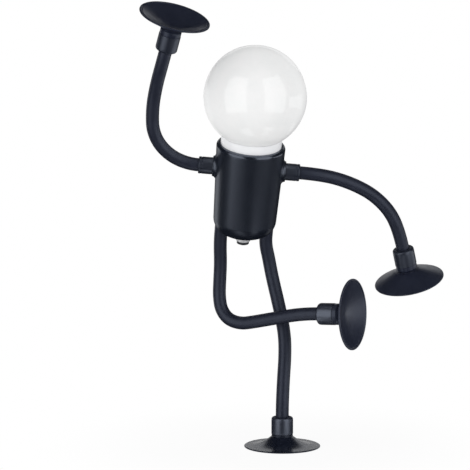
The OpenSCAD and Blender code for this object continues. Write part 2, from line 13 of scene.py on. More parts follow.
import bpy
from mathutils import Matrix, Vector
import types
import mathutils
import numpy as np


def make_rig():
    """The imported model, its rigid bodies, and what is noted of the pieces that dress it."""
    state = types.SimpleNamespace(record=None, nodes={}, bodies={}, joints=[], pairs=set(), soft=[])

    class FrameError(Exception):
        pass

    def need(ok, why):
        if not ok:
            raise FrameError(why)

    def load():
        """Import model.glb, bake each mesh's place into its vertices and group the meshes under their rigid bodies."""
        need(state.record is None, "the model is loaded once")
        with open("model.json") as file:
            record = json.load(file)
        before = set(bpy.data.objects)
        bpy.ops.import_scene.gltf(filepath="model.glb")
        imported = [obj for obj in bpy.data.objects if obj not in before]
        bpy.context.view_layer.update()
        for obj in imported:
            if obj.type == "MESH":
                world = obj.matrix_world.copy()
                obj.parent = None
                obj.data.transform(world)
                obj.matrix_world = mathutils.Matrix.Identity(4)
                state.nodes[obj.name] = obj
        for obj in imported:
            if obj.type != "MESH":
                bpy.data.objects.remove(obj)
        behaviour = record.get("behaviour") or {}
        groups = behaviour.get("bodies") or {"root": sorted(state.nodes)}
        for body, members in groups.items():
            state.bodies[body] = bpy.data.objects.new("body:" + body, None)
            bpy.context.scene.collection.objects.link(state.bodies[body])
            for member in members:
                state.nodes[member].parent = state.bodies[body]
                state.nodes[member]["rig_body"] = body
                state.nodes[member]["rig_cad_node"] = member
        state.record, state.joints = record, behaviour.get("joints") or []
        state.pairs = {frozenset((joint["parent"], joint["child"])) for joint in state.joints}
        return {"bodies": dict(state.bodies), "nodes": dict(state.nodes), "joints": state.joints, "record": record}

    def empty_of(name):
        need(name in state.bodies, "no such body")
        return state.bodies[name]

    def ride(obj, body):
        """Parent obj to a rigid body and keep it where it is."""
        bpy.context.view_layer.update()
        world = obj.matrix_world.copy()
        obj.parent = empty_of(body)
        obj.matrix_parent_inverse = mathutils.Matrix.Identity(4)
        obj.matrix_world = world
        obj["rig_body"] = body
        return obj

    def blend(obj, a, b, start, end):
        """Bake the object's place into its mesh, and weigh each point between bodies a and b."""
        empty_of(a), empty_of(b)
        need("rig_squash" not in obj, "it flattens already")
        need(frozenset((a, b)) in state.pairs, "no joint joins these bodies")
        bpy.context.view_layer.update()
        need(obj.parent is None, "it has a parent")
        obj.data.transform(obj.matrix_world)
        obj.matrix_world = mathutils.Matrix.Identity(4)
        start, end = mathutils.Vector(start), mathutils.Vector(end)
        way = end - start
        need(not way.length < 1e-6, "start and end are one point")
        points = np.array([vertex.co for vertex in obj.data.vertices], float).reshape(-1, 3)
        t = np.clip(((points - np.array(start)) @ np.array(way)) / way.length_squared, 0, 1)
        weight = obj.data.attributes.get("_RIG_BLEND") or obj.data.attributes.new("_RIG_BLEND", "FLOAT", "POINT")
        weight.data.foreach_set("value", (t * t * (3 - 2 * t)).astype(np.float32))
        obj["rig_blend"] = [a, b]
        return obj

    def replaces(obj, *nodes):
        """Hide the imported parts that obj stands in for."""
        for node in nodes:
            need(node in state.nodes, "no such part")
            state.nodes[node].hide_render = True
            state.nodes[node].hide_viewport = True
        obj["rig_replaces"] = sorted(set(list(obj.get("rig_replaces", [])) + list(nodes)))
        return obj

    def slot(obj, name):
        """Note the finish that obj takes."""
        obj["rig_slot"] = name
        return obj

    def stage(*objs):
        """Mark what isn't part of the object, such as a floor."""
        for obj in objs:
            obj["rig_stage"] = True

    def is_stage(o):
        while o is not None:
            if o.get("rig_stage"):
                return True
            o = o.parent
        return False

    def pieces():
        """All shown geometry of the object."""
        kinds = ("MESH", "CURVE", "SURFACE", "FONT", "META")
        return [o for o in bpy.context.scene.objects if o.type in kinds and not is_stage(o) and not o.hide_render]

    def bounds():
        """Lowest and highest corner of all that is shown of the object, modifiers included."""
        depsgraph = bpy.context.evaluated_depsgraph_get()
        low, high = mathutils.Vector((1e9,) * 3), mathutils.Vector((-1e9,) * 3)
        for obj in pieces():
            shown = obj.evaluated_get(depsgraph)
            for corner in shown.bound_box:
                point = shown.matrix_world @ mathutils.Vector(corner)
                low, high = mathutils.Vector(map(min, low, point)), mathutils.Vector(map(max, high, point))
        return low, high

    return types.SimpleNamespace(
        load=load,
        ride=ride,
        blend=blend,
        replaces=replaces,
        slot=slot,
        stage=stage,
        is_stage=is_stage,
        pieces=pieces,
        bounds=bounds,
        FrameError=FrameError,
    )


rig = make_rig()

LOG = logging.getLogger("night_light")
MM = 0.001

# Gap between pieces that are fixed in each other.
FIT = 0.05
# Edges that turn by more than this stay sharp.
SHARP_ANGLE = math.radians(38)
# Degrees between the points of an arc, and the radius above which they lie closer.
ARC_STEP = 9.0
FINE_ARC_R = 2.0
# Number of faces round the pieces.
CORE_SIDES = 24
SLEEVE_SIDES = 48
FERRULE_SIDES = 96
CUP_SIDES = 160
BODY_SIDES = 160

Point = tuple[float, float]
Spot = tuple[float, float, float]
Colour = tuple[float, float, float]
Axis = Callable[[float], Matrix]
Lift = Callable[[float, float, float], float]
Operand = Union["Wire", float]


def linear(value: float) -> float:
    """Turns a display value of 0 to 1 into a linear one."""
    return value / 12.92 if value <= 0.04045 else ((value + 0.055) / 1.055) ** 2.4


def srgb(red: int, green: int, blue: int) -> Colour:
    """Turns a display colour of 0 to 255 into a linear one."""
    return linear(red / 255), linear(green / 255), linear(blue / 255)


# Shader wiring


class Wire:
    """An output of a shader node that takes part in arithmetic."""

    def __init__(self, shade: "Shade", socket: bpy.types.NodeSocket) -> None:
        """Keeps the socket and the tree that it belongs to."""
        self.shade = shade
        self.socket = socket

    def __add__(self, other: Operand) -> "Wire":
        """Adds a value."""
        return self.shade.math("ADD", self, other)

    def __sub__(self, other: Operand) -> "Wire":
        """Takes a value away."""
        return self.shade.math("SUBTRACT", self, other)

    def __rsub__(self, other: Operand) -> "Wire":
        """Takes this away from a value."""
        return self.shade.math("SUBTRACT", other, self)

    def __mul__(self, other: Operand) -> "Wire":
        """Multiplies by a value."""
        return self.shade.math("MULTIPLY", self, other)

    __radd__ = __add__
    __rmul__ = __mul__

    def ramp(self, low: float, high: float) -> "Wire":
        """Rises smoothly from 0 at low to 1 at high."""
        inputs = {"Value": self, "From Min": low, "From Max": high}
        return self.shade.node("ShaderNodeMapRange", {"interpolation_type": "SMOOTHSTEP"}, inputs)


class Shade:
    """Builds the node tree of one material or of the world."""

    def __init__(self, owner: Union[bpy.types.Material, bpy.types.World]) -> None:
        """Empties the owner's tree.

        Args:
            owner: the material or world that gets the nodes.
        """
        owner.use_nodes = True
        self.owner = owner
        self.tree = owner.node_tree
        self.tree.nodes.clear()

    def node(
        self,
        kind: str,
        settings: Optional[dict[str, Any]] = None,
        inputs: Optional[dict[Any, Any]] = None,
        output: Union[str, int] = 0,
    ) -> Wire:
        """Makes a node of any kind.

        Args:
            kind: the node's type name.
            settings: properties, set before the sockets.
            inputs: values or wires by socket name, identifier or number.
            output: the output that is returned.

        Returns:
            A wire from that output.
        """
        made = self.tree.nodes.new(kind)
        for key, value in (settings or {}).items():
            setattr(made, key, value)
        for key, value in (inputs or {}).items():
            socket = self._socket(made.inputs, key)
            if isinstance(value, Wire):
                self.tree.links.new(value.socket, socket)
            else:
                socket.default_value = value
        return Wire(self, self._socket(made.outputs, output))

    @staticmethod
    def _socket(sockets: Any, key: Union[str, int]) -> bpy.types.NodeSocket:
        """Finds a socket.

        Args:
            sockets: a node's inputs or outputs.
            key: the socket's number, identifier or name.

        Returns:
            The first socket that fits.
        """
        if isinstance(key, int):
            return sockets[key]
        return next(s for s in sockets if key in (s.identifier, s.name))

    def math(self, operation: str, *values: Operand) -> Wire:
        """Computes one value from others."""
        return self.node("ShaderNodeMath", {"operation": operation}, dict(enumerate(values)))

    def mix(self, factor: Operand, low: Any, high: Any) -> Wire:
        """Mixes two colours."""
        inputs = {"Factor_Float": factor, "A_Color": self.rgba(low), "B_Color": self.rgba(high)}
        return self.node("ShaderNodeMix", {"data_type": "RGBA"}, inputs, "Result_Color")

    @staticmethod
    def rgba(colour: Any) -> Any:
        """Gives a plain colour its alpha and leaves a wire as it is."""
        return colour if isinstance(colour, Wire) else (*colour, 1.0)

    def place(self) -> Wire:
        """Gives the place on the object, in metres."""
        return self.node("ShaderNodeTexCoord", output="Object")

    def part(self, vector: Wire, axis: str) -> Wire:
        """Gives one part of a vector."""
        return self.node("ShaderNodeSeparateXYZ", None, {0: vector}, axis)

    def stretched(self, scale: Sequence[float]) -> Wire:
        """Gives the place on the object, scaled along each axis."""
        inputs = {"Vector": self.place(), "Scale": scale}
        return self.node("ShaderNodeMapping", {"vector_type": "POINT"}, inputs)

    def noise(self, size: float, detail: float = 3.0, vector: Optional[Wire] = None) -> Wire:
        """Gives soft noise with features of a size in millimetres."""
        inputs = {"Vector": vector or self.place(), "Scale": 1 / (size * MM), "Detail": detail}
        return self.node("ShaderNodeTexNoise", None, inputs)

    def cells(self, size: float) -> Wire:
        """Gives the distance within cells of a size in millimetres."""
        inputs = {"Vector": self.place(), "Scale": 1 / (size * MM)}
        return self.node("ShaderNodeTexVoronoi", None, inputs)

    def up(self) -> Wire:
        """Gives how far the surface faces upwards."""
        return self.part(self.node("ShaderNodeNewGeometry", output="Normal"), "Z")

    def edges(self) -> Wire:
        """Gives how strongly the surface curves outwards, 0.5 where it is flat."""
        return self.node("ShaderNodeNewGeometry", output="Pointiness")

    def facing(self) -> Wire:
        """Gives 0 where the surface faces the eye and 1 where it turns away."""
        return self.node("ShaderNodeLayerWeight", None, {"Blend": 0.5}, "Facing")

    def matt(self, colour: Wire, **others: Wire) -> Wire:
        """Makes a shader without gloss."""
        inputs = {"Base Color": colour, "Roughness": 1.0, "Specular IOR Level": 0.0, **others}
        return self.node("ShaderNodeBsdfPrincipled", None, inputs)

    def close(self, shader: Wire, kind: str = "ShaderNodeOutputMaterial") -> None:
        """Connects the finished shader to an output node."""
        self.tree.links.new(shader.socket, self.tree.nodes.new(kind).inputs["Surface"])


# Finishes


DUST_GREY = srgb(176, 176, 172)
# Paler grey of the outer edges: partly wear, partly a painted highlight.
WEAR_AND_HIGHLIGHT_GREY = srgb(150, 153, 160)
BLUISH: Colour = (0.74, 0.82, 1.0)


class Grain(Enum):
    """How the fine relief of a surface runs."""

    PEBBLED = "pebbled"
    CELLED = "celled"
    DRAWN = "drawn"
    WOVEN = "woven"


@dataclass(frozen=True)
class Finish:
    """A surface: its colour, its gloss and its fine relief.

    Attributes:
        colour: the main colour, linear.
        drift: the colour that patches lean towards.
        roughness: mean roughness.
        wander: how far the roughness wanders to each side.
        specular: level of the plain reflection.
        tint: colour of the plain reflection.
        ior: index of refraction.
        metallic: share of metal.
        coat: weight of a clear coat.
        subsurface: share of light that spreads under the surface.
        grain: size of the relief in millimetres.
        depth: height of the relief in millimetres.
        relief: how the relief runs.
        dust: how much pale dust lies on what faces upwards.
        wear_and_highlight: how much paler the outer edges are, partly wear and partly a painted highlight along rims
            and edges.
        polish: how much smoother the outer edges are.
        matt_edge: how much gloss is lost where the surface turns away.
        matt_range: where that loss begins and ends, 0 for a surface that faces the eye.
        matt_under: how much gloss is lost on what faces downwards, where matt_edge is set.
    """

    colour: Colour
    drift: Colour
    roughness: float
    wander: float = 0.06
    specular: float = 0.5
    tint: Colour = (1.0, 1.0, 1.0)
    ior: float = 1.5
    metallic: float = 0.0
    coat: float = 0.0
    subsurface: float = 0.0
    grain: float = 0.35
    depth: float = 0.01
    relief: Grain = Grain.PEBBLED
    dust: float = 0.0
    wear_and_highlight: float = 0.0
    polish: float = 0.0
    matt_edge: float = 0.0
    matt_range: tuple[float, float] = (0.45, 0.95)
    matt_under: float = 0.0

    def material(self, name: str) -> bpy.types.Material:
        """Makes the material.

        Args:
            name: the material's name.

        Returns:
            The material, its colour, roughness and relief all varying.
        """
        shade = Shade(bpy.data.materials.new(name))
        colour = self._colour(shade)
        bump = {"Strength": 1.0, "Distance": self.depth * MM, "Height": self._height(shade)}
        normal = shade.node("ShaderNodeBump", None, bump)
        inputs: dict[str, Any] = {
            "Base Color": colour,
            "Roughness": self._roughness(shade),
            "Metallic": self.metallic,
            "Normal": normal,
            "Specular IOR Level": self.specular,
            "Specular Tint": (*self.tint, 1.0),
            "IOR": self.ior,
            "Coat Weight": self.coat,
            "Coat Roughness": 0.12,
            "Subsurface Weight": self.subsurface,
            "Subsurface Radius": (1.0, 1.0, 1.0),
            "Subsurface Scale": 3 * MM,
        }
        shader = shade.node("ShaderNodeBsdfPrincipled", None, inputs)
        if self.matt_edge:
            matt = shade.matt(colour, Normal=normal)
            shader = shade.node("ShaderNodeMixShader", None, {0: self._lost(shade), 1: shader, 2: matt})
        shade.close(shader)
        return shade.owner

    def _colour(self, shade: Shade) -> Wire:
        """Gives the colour with its patches, dust, and paler edges that are partly wear and partly painted highlight.

        Args:
            shade: the material's tree.

        Returns:
            The colour at each place.
        """
        patches = shade.noise(size=9.0, detail=4.0).ramp(0.3, 0.7)
        colour = shade.mix(patches, self.colour, self.drift)
        if self.dust:
            specks = shade.noise(size=2.5, detail=5.0).ramp(0.35, 0.75)
            colour = shade.mix(shade.up().ramp(0.2, 1.0) * specks * self.dust, colour, DUST_GREY)
        # Paler outer edges: partly wear, partly a painted highlight along rims and edges.
        if self.wear_and_highlight:
            colour = shade.mix(shade.edges().ramp(0.52, 0.6) * self.wear_and_highlight, colour, WEAR_AND_HIGHLIGHT_GREY)
        return colour

    def _roughness(self, shade: Shade) -> Wire:
        """Gives the roughness with its smears and polished edges.

        Args:
            shade: the material's tree.

        Returns:
            The roughness at each place.
        """
        smears = shade.noise(size=4.0, detail=4.0)
        roughness = self.roughness + (smears - 0.5) * (2 * self.wander)
        if self.polish:
            roughness -= shade.edges().ramp(0.502, 0.525) * self.polish
        return roughness

    def _height(self, shade: Shade) -> Wire:
        """Gives the relief's height, from 0 to 1.

        Args:
            shade: the material's tree.

        Returns:
            The height at each place.
        """
        if self.relief is Grain.CELLED:
            return shade.cells(self.grain)
        if self.relief is Grain.DRAWN:
            return shade.noise(self.grain, 2.0, shade.stretched((1.0, 1.0, 0.04)))
        if self.relief is Grain.WOVEN:
            turns = 2 * math.pi / (self.grain * MM)
            across, along = (shade.math("SINE", shade.part(shade.place(), axis) * turns) for axis in "XZ")
            return across * along * 0.5 + 0.5
        return shade.noise(self.grain)

    def _lost(self, shade: Shade) -> Wire:
        """Gives the share of the gloss that is lost.

        Args:
            shade: the material's tree.

        Returns:
            The share at each place, for a Mix Shader's factor.
        """
        lost = shade.facing().ramp(*self.matt_range) * self.matt_edge
        if self.matt_under:
            lost = shade.math("MAXIMUM", lost, (0.0 - shade.up()).ramp(0.24, 0.5) * self.matt_under)
        return lost


FINISHES: dict[str, Finish] = {
    # The body's paler rim and edges are partly a painted highlight.
    "body_black": Finish(
        srgb(17, 21, 30), srgb(20, 24, 33), 0.34, wander=0.02, specular=1.0, tint=BLUISH, ior=1.76,
        grain=0.4, depth=0.0006, dust=0.006, wear_and_highlight=0.08, polish=0.2, matt_edge=0.85, matt_under=0.7,
    ),
    "shoulder_black": Finish(
        srgb(25, 28, 39), srgb(28, 32, 43), 0.36, specular=1.0, tint=BLUISH, ior=1.6, grain=0.3,
        depth=0.0015, dust=0.006, wear_and_highlight=0.06, matt_edge=0.8,
    ),
    "ferrule_black": Finish(
        srgb(26, 29, 41), srgb(30, 33, 45), 0.37, wander=0.02, specular=1.0, tint=BLUISH, ior=1.86,
        grain=0.22, depth=0.0008, dust=0.006, wear_and_highlight=0.08, matt_edge=0.85, matt_range=(0.25, 0.8),
    ),
    "sleeve_silicone": Finish(
        srgb(27, 30, 43), srgb(32, 35, 48), 0.42, specular=0.7, tint=BLUISH, grain=0.5, depth=0.004,
        dust=0.01, matt_edge=0.8,
    ),
    "cup_rubber": Finish(
        srgb(28, 32, 47), srgb(32, 36, 51), 0.34, specular=0.78, tint=BLUISH, grain=0.6, depth=0.003,
        dust=0.01, wear_and_highlight=0.05, matt_edge=0.35,
    ),
    # A darker copy of the cup rubber for the pressed foot cup: painted shade.
    "pressed_rubber_painted_shade": Finish(
        srgb(17, 21, 33), srgb(20, 24, 36), 0.28, specular=0.7, tint=BLUISH, grain=1.2, depth=0.0006,
        dust=0.004, wear_and_highlight=0.05, matt_edge=0.15,
    ),
    "core_metal": Finish(
        srgb(176, 180, 186), srgb(158, 161, 166), 0.36, metallic=1.0, grain=0.15, depth=0.004,
        relief=Grain.DRAWN,
    ),
    "plated_steel": Finish(
        srgb(196, 199, 204), srgb(176, 179, 184), 0.28, metallic=1.0, grain=0.2, depth=0.004, wear_and_highlight=0.1,
    ),
    "bright_metal": Finish(
        srgb(240, 241, 243), srgb(228, 229, 232), 0.22, wander=0.04, metallic=0.35, grain=0.12,
        depth=0.003, relief=Grain.DRAWN,
    ),
    "clamp_black": Finish(srgb(34, 37, 43), srgb(42, 45, 51), 0.55, specular=0.3, grain=0.3, depth=0.02),
    "lamp_white": Finish(srgb(232, 232, 230), srgb(222, 222, 220), 0.5, specular=0.35, grain=0.4),
    "collar_white": Finish(
        srgb(246, 247, 249), srgb(241, 242, 245), 0.34, wander=0.04, specular=0.4, subsurface=0.05,
        grain=0.4, depth=0.004, dust=0.01,
    ),
    "globe_opal": Finish(
        srgb(250, 250, 250), srgb(247, 248, 248), 0.07, wander=0.02, specular=0.75, subsurface=0.12,
        grain=1.2, depth=0.004, matt_edge=0.6, matt_range=(0.2, 0.55),
    ),
    "board_white": Finish(
        srgb(226, 228, 226), srgb(214, 217, 215), 0.42, grain=0.5, depth=0.008, relief=Grain.WOVEN,
    ),
    "led_yellow": Finish(srgb(238, 206, 84), srgb(230, 190, 60), 0.3, subsurface=0.1, grain=0.2),
    "cell_foil": Finish(
        srgb(88, 128, 176), srgb(76, 114, 160), 0.32, metallic=0.6, grain=1.4, depth=0.03,
        relief=Grain.CELLED,
    ),
    "board_green": Finish(
        srgb(40, 98, 66), srgb(34, 84, 56), 0.4, coat=0.3, grain=0.5, depth=0.008, relief=Grain.WOVEN,
    ),
    "chip_dark": Finish(srgb(38, 40, 45), srgb(46, 48, 53), 0.55, grain=0.15, depth=0.012),
    "lead_red": Finish(srgb(168, 34, 34), srgb(150, 28, 28), 0.45, grain=0.3),
    "button_black": Finish(
        srgb(16, 18, 23), srgb(22, 24, 29), 0.3, specular=0.4, grain=0.25, depth=0.006, dust=0.02, wear_and_highlight=0.1,
    ),
}


class Paints:
    """Makes each material once, when it is first asked for."""

    def __init__(self) -> None:
        """Starts with no material made."""
        self._made: dict[str, bpy.types.Material] = {}

    def get(self, slot: str) -> bpy.types.Material:
        """Gives the material of a finish.

        Args:
            slot: the finish's name.

        Returns:
            The one material of that name.
        """
        if slot not in self._made:
            self._made[slot] = FINISHES[slot].material(f"{slot}_look")
        return self._made[slot]


# Shapes


def rounded(*corners: Sequence[float]) -> list[Point]:
    """Rounds the corners of an outline.

    Args:
        corners: radius and height of each corner, and its rounding if it has one.

    Returns:
        The outline's points, with an arc at each rounded corner, in finer steps where it is large.
    """
    points: list[Point] = []
    for i, corner in enumerate(corners):
        here = Vector(corner[:2])
        if len(corner) < 3:
            points.append(tuple(here))
            continue
        back = (Vector(corners[i - 1][:2]) - here).normalized()
        ahead = (Vector(corners[i + 1][:2]) - here).normalized()
        half = back.angle(ahead) / 2
        reach = corner[2] / math.tan(half)
        centre = here + (back + ahead).normalized() * (corner[2] / math.sin(half))
        start, end = here + back * reach - centre, here + ahead * reach - centre
        turn = start.angle_signed(end)
        fineness = max(1.0, corner[2] / FINE_ARC_R)
        steps = max(3, round(abs(math.degrees(turn)) / ARC_STEP * fineness))
        for k in range(steps + 1):
            angle = math.atan2(start.y, start.x) - turn * k / steps
            points.append((centre.x + corner[2] * math.cos(angle), centre.y + corner[2] * math.sin(angle)))
    return points


def arc(start: Point, end: Point, bulge: float, steps: int) -> list[Point]:
    """Bows a line sideways.

    Args:
        start: first end.
        end: last end.
        bulge: height of the bow, to the left of the way from start to end where it is positive.
        steps: number of pieces.

    Returns:
        Points along a parabola that is close to an arc for a small bulge.
    """
    a, b = Vector(start), Vector(end)
    side = Vector((a.y - b.y, b.x - a.x)).normalized() * bulge
    shares = [k / steps for k in range(steps + 1)]
    return [tuple(a.lerp(b, share) + side * (4 * share * (1 - share))) for share in shares]


def straight(place: Matrix) -> Axis:
    """Gives the axis of a turned piece that stands at a place."""
    return lambda height: place @ Matrix.Translation((0.0, 0.0, height))


def signed_volume(mesh: bpy.types.Mesh) -> float:
    """Measures a closed mesh.

    Args:
        mesh: the mesh.

    Returns:
        Its volume, negative where its faces look inwards.
    """
    mesh.calc_loop_triangles()
    total = 0.0
    for triangle in mesh.loop_triangles:
        a, b, c = (mesh.vertices[i].co for i in triangle.vertices)
        total += a.dot(b.cross(c)) / 6
    return total


def smooth(mesh: bpy.types.Mesh) -> None:
    """Shades a mesh smooth but for its sharp edges."""
    mesh.shade_smooth()
    mesh.set_sharp_from_angle(angle=SHARP_ANGLE)


def solid(name: str, spots: Sequence[Vector], faces: Sequence[Sequence[int]]) -> bpy.types.Object:
    """Makes a closed object.

    Args:
        name: the new object's name.
        spots: its vertices, in metres.
        faces: its faces, which all look the same way.

    Returns:
        The object, its faces turned outwards.
    """
    mesh = bpy.data.meshes.new(name)
    mesh.from_pydata(spots, [], faces)
    if signed_volume(mesh) < 0:
        mesh.flip_normals()
    smooth(mesh)
    made = bpy.data.objects.new(name, mesh)
    bpy.context.scene.collection.objects.link(made)
    return made


def turned(
    name: str, outline: Sequence[Point], axis: Axis, sides: int, lift: Optional[Lift] = None,
) -> bpy.types.Object:
    """Turns an outline about an axis, which may be curved.

    Args:
        name: the new object's name.
        outline: points of radius and height along the axis; it closes on itself or ends on the axis.
        axis: gives the frame at a height, in millimetres.
        sides: number of faces around.
        lift: gives a point's height from its place beside the axis and its share in the outline,
            for a piece that isn't round.

    Returns:
        A closed object in metres.
    """
    spots: list[Vector] = []
    rings: list[list[int]] = []
    for radius, height in outline:
        frame = axis(0.0 if lift else height)
        count = sides if radius > 1e-6 else 1
        rings.append(list(range(len(spots), len(spots) + count)))
        for k in range(count):
            angle = 2 * math.pi * k / sides
            spot = Vector((radius * math.cos(angle), radius * math.sin(angle), 0.0))
            if lift:
                spot.z = lift(spot.x, spot.y, height)
            spots.append((frame @ spot) * MM)
    if len(rings[0]) > 1:
        rings.append(rings[0])
    faces: list[list[int]] = []
    for low, high in zip(rings, rings[1:]):
        for k in range(sides):
            after = (k + 1) % sides
            lower = [low[k % len(low)], low[after % len(low)]]
            upper = [high[after % len(high)], high[k % len(high)]]
            faces.append(list(dict.fromkeys(lower + upper)))
    return solid(name, spots, faces)


def cut(made: bpy.types.Object, cutter: bpy.types.Object) -> None:
    """Cuts one closed object out of another.

    Args:
        made: the object that stays.
        cutter: the object that is cut out, and deleted.
    """
    step = made.modifiers.new("cut", "BOOLEAN")
    step.operation = "DIFFERENCE"
    step.solver = "EXACT"
    step.object = cutter
    graph = bpy.context.evaluated_depsgraph_get()
    made.data = bpy.data.meshes.new_from_object(made.evaluated_get(graph))
    made.modifiers.clear()
    bpy.data.objects.remove(cutter)
    smooth(made.data)


# Routes of the limbs


@dataclass(frozen=True)
class Knot:
    """A place that a limb passes and its direction there."""

    place: Vector
    way: Vector

    @classmethod
    def at(cls, place: Sequence[float], way: Sequence[float]) -> "Knot":
        """Makes a knot from plain numbers."""
        return cls(Vector(place), Vector(way).normalized())


@dataclass(frozen=True)
class Run:
    """A straight line or an arc of a route.

    Attributes:
        start: frame at its start, whose Z axis points along it.
        length: its length.
        axis: the axis that an arc turns about.
        radius: an arc's radius, 0 for a line.
    """

    start: Matrix
    length: float
    axis: Vector
    radius: float

    @classmethod
    def to(cls, start: Matrix, end: Vector) -> "Run":
        """Leads from a frame to an end.

        Args:
            start: the frame.
            end: the place to reach.

        Returns:
            The line or arc that leaves the frame smoothly.
        """
        way = start.col[2].to_3d()
        chord = end - start.translation
        axis = way.cross(chord)
        if axis.length < 1e-4 * chord.length:
            return cls(start, chord.length, axis, 0.0)
        half = math.atan2(axis.length, way.dot(chord))
        radius = chord.length / (2 * math.sin(half))
        return cls(start, 2 * half * radius, axis.normalized(), radius)

    def frame(self, distance: float) -> Matrix:
        """Gives the frame at a distance.

        Args:
            distance: distance from the start.

        Returns:
            The frame there, its Z axis along the run.
        """
        if not self.radius:
            return self.start @ Matrix.Translation((0.0, 0.0, distance))
        centre = self.start.translation + self.radius * self.axis.cross(self.start.col[2].to_3d())
        swing = Matrix.Rotation(distance / self.radius, 4, self.axis)
        return Matrix.Translation(centre) @ swing @ Matrix.Translation(-centre) @ self.start


class Route:
    """A smooth way through knots, two arcs between each two of them."""

    def __init__(self, knots: Sequence[Knot]) -> None:
        """Works out the runs and the distance of each knot.

        Args:
            knots: the places that the route passes.
        """
        self.runs: list[Run] = []
        self.stops: list[float] = [0.0]
        heading = knots[0].way.to_track_quat("Z", "Y").to_matrix().to_4x4()
        frame = Matrix.Translation(knots[0].place) @ heading
        for a, b in zip(knots, knots[1:]):
            for end in self._ends(a, b):
                self.runs.append(Run.to(frame, end))
                frame = self.runs[-1].frame(self.runs[-1].length)
            self.stops.append(sum(run.length for run in self.runs))

    @staticmethod
    def _ends(a: Knot, b: Knot) -> list[Vector]:
        """Gives the ends of the runs that lead from one knot to the next.

        Args:
            a: the first knot.
            b: the next knot.

        Returns:
            The second knot's place, and before it the place where two arcs meet, unless a line does.
        """
        v, together = b.place - a.place, a.way + b.way
        if v.cross(a.way).length + a.way.cross(b.way).length < 1e-4:
            return [b.place]
        k, dot = 2 * (1 - a.way.dot(b.way)), v.dot(together)
        reach = v.length_squared / (2 * dot)
        if k > 1e-6:
            reach = (math.sqrt(dot * dot + k * v.length_squared) - dot) / k
        return [(a.place + reach * a.way + b.place - reach * b.way) / 2, b.place]

    def frame(self, distance: float) -> Matrix:
        """Gives the frame at a distance.

        Args:
            distance: distance along the route.

        Returns:
            The frame there, its Z axis along the route.
        """
        for run in self.runs[:-1]:
            if distance <= run.length:
                return run.frame(distance)
            distance -= run.length
        return self.runs[-1].frame(distance)

    def point(self, distance: float) -> Vector:
        """Gives the place at a distance along the route."""
        return self.frame(distance).translation


def hose_outline(
    start: float, end: float, outer: float, inner: float, soft: tuple[bool, bool],
) -> list[Point]:
    """Draws the wall of a hose along its route.

    Args:
        start: distance of its first end.
        end: distance of its last end.
        outer: outer radius.
        inner: radius of the bore, 0 for a rod.
        soft: whether the first and the last end's edge is rounded.

    Returns:
        A closed outline of radius and distance.
    """
    edge = 0.25
    bevel = 0.3 * edge
    steps = max(2, math.ceil(end - start))
    between = [(outer, start + (end - start) * k / steps) for k in range(1, steps)]
    first = [(outer - edge, start), (outer - bevel, start + bevel), (outer, start + edge)]
    last = [(outer, end - edge), (outer - bevel, end - bevel), (outer - edge, end)]
    outside = (first if soft[0] else [(outer, start)]) + between + (last if soft[1] else [(outer, end)])
    if not inner:
        return [(0.0, start)] + outside + [(0.0, end)]
    bore = [(inner, start + (end - start) * k / steps) for k in range(steps, -1, -1)]
    return outside + bore


# The object


@dataclass
class Workshop:
    """What every sub-assembly needs: the frame and the paints."""

    frame: dict[str, Any]
    paints: Paints = field(default_factory=Paints)

    def dress(self, slot: str, *nodes: str) -> None:
        """Paints CAD nodes that are kept as they are.

        Args:
            slot: name of the finish.
            nodes: names of the nodes.
        """
        for node in nodes:
            mesh = self.frame["nodes"][node].data
            mesh.materials.clear()
            mesh.materials.append(self.paints.get(slot))
        LOG.info("dressed %s in %s", ", ".join(nodes), slot)

    def keep(self, made: bpy.types.Object, slot: str, body: str, *nodes: str, look: str = "") -> None:
        """Paints a new piece and lets it ride on a body, in place of CAD nodes.

        Args:
            made: the piece.
            slot: its material slot in the record.
            body: the body that carries it.
            nodes: the CAD nodes that it stands for.
            look: name of its finish, where it isn't the slot's own.
        """
        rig.ride(self._painted(made, slot, nodes, look), body)
        LOG.info("built %s on %s", made.name, body)

    def bend(
        self,
        made: bpy.types.Object,
        slot: str,
        bodies: tuple[str, str],
        ends: tuple[Vector, Vector],
        nodes: Iterable[str],
    ) -> None:
        """Paints a new piece and lets it bend between two bodies, in place of CAD nodes.

        Args:
            made: the piece.
            slot: its material slot in the record.
            bodies: the bodies at its two ends.
            ends: the places between which it bends.
            nodes: the CAD nodes that it stands for.
        """
        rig.blend(self._painted(made, slot, nodes), *bodies, *(end * MM for end in ends))
        LOG.info("built %s from %s to %s", made.name, *bodies)

    def _painted(
        self, made: bpy.types.Object, slot: str, nodes: Iterable[str], look: str = "",
    ) -> bpy.types.Object:
        """Gives a piece its material and says which nodes it stands for.

        Args:
            made: the piece.
            slot: its material slot in the record.
            nodes: the CAD nodes that it stands for.
            look: name of its finish, where it isn't the slot's own.

        Returns:
            The piece.
        """
        made.data.materials.append(self.paints.get(look or slot))
        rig.slot(made, slot)
        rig.replaces(made, *nodes)
        return made


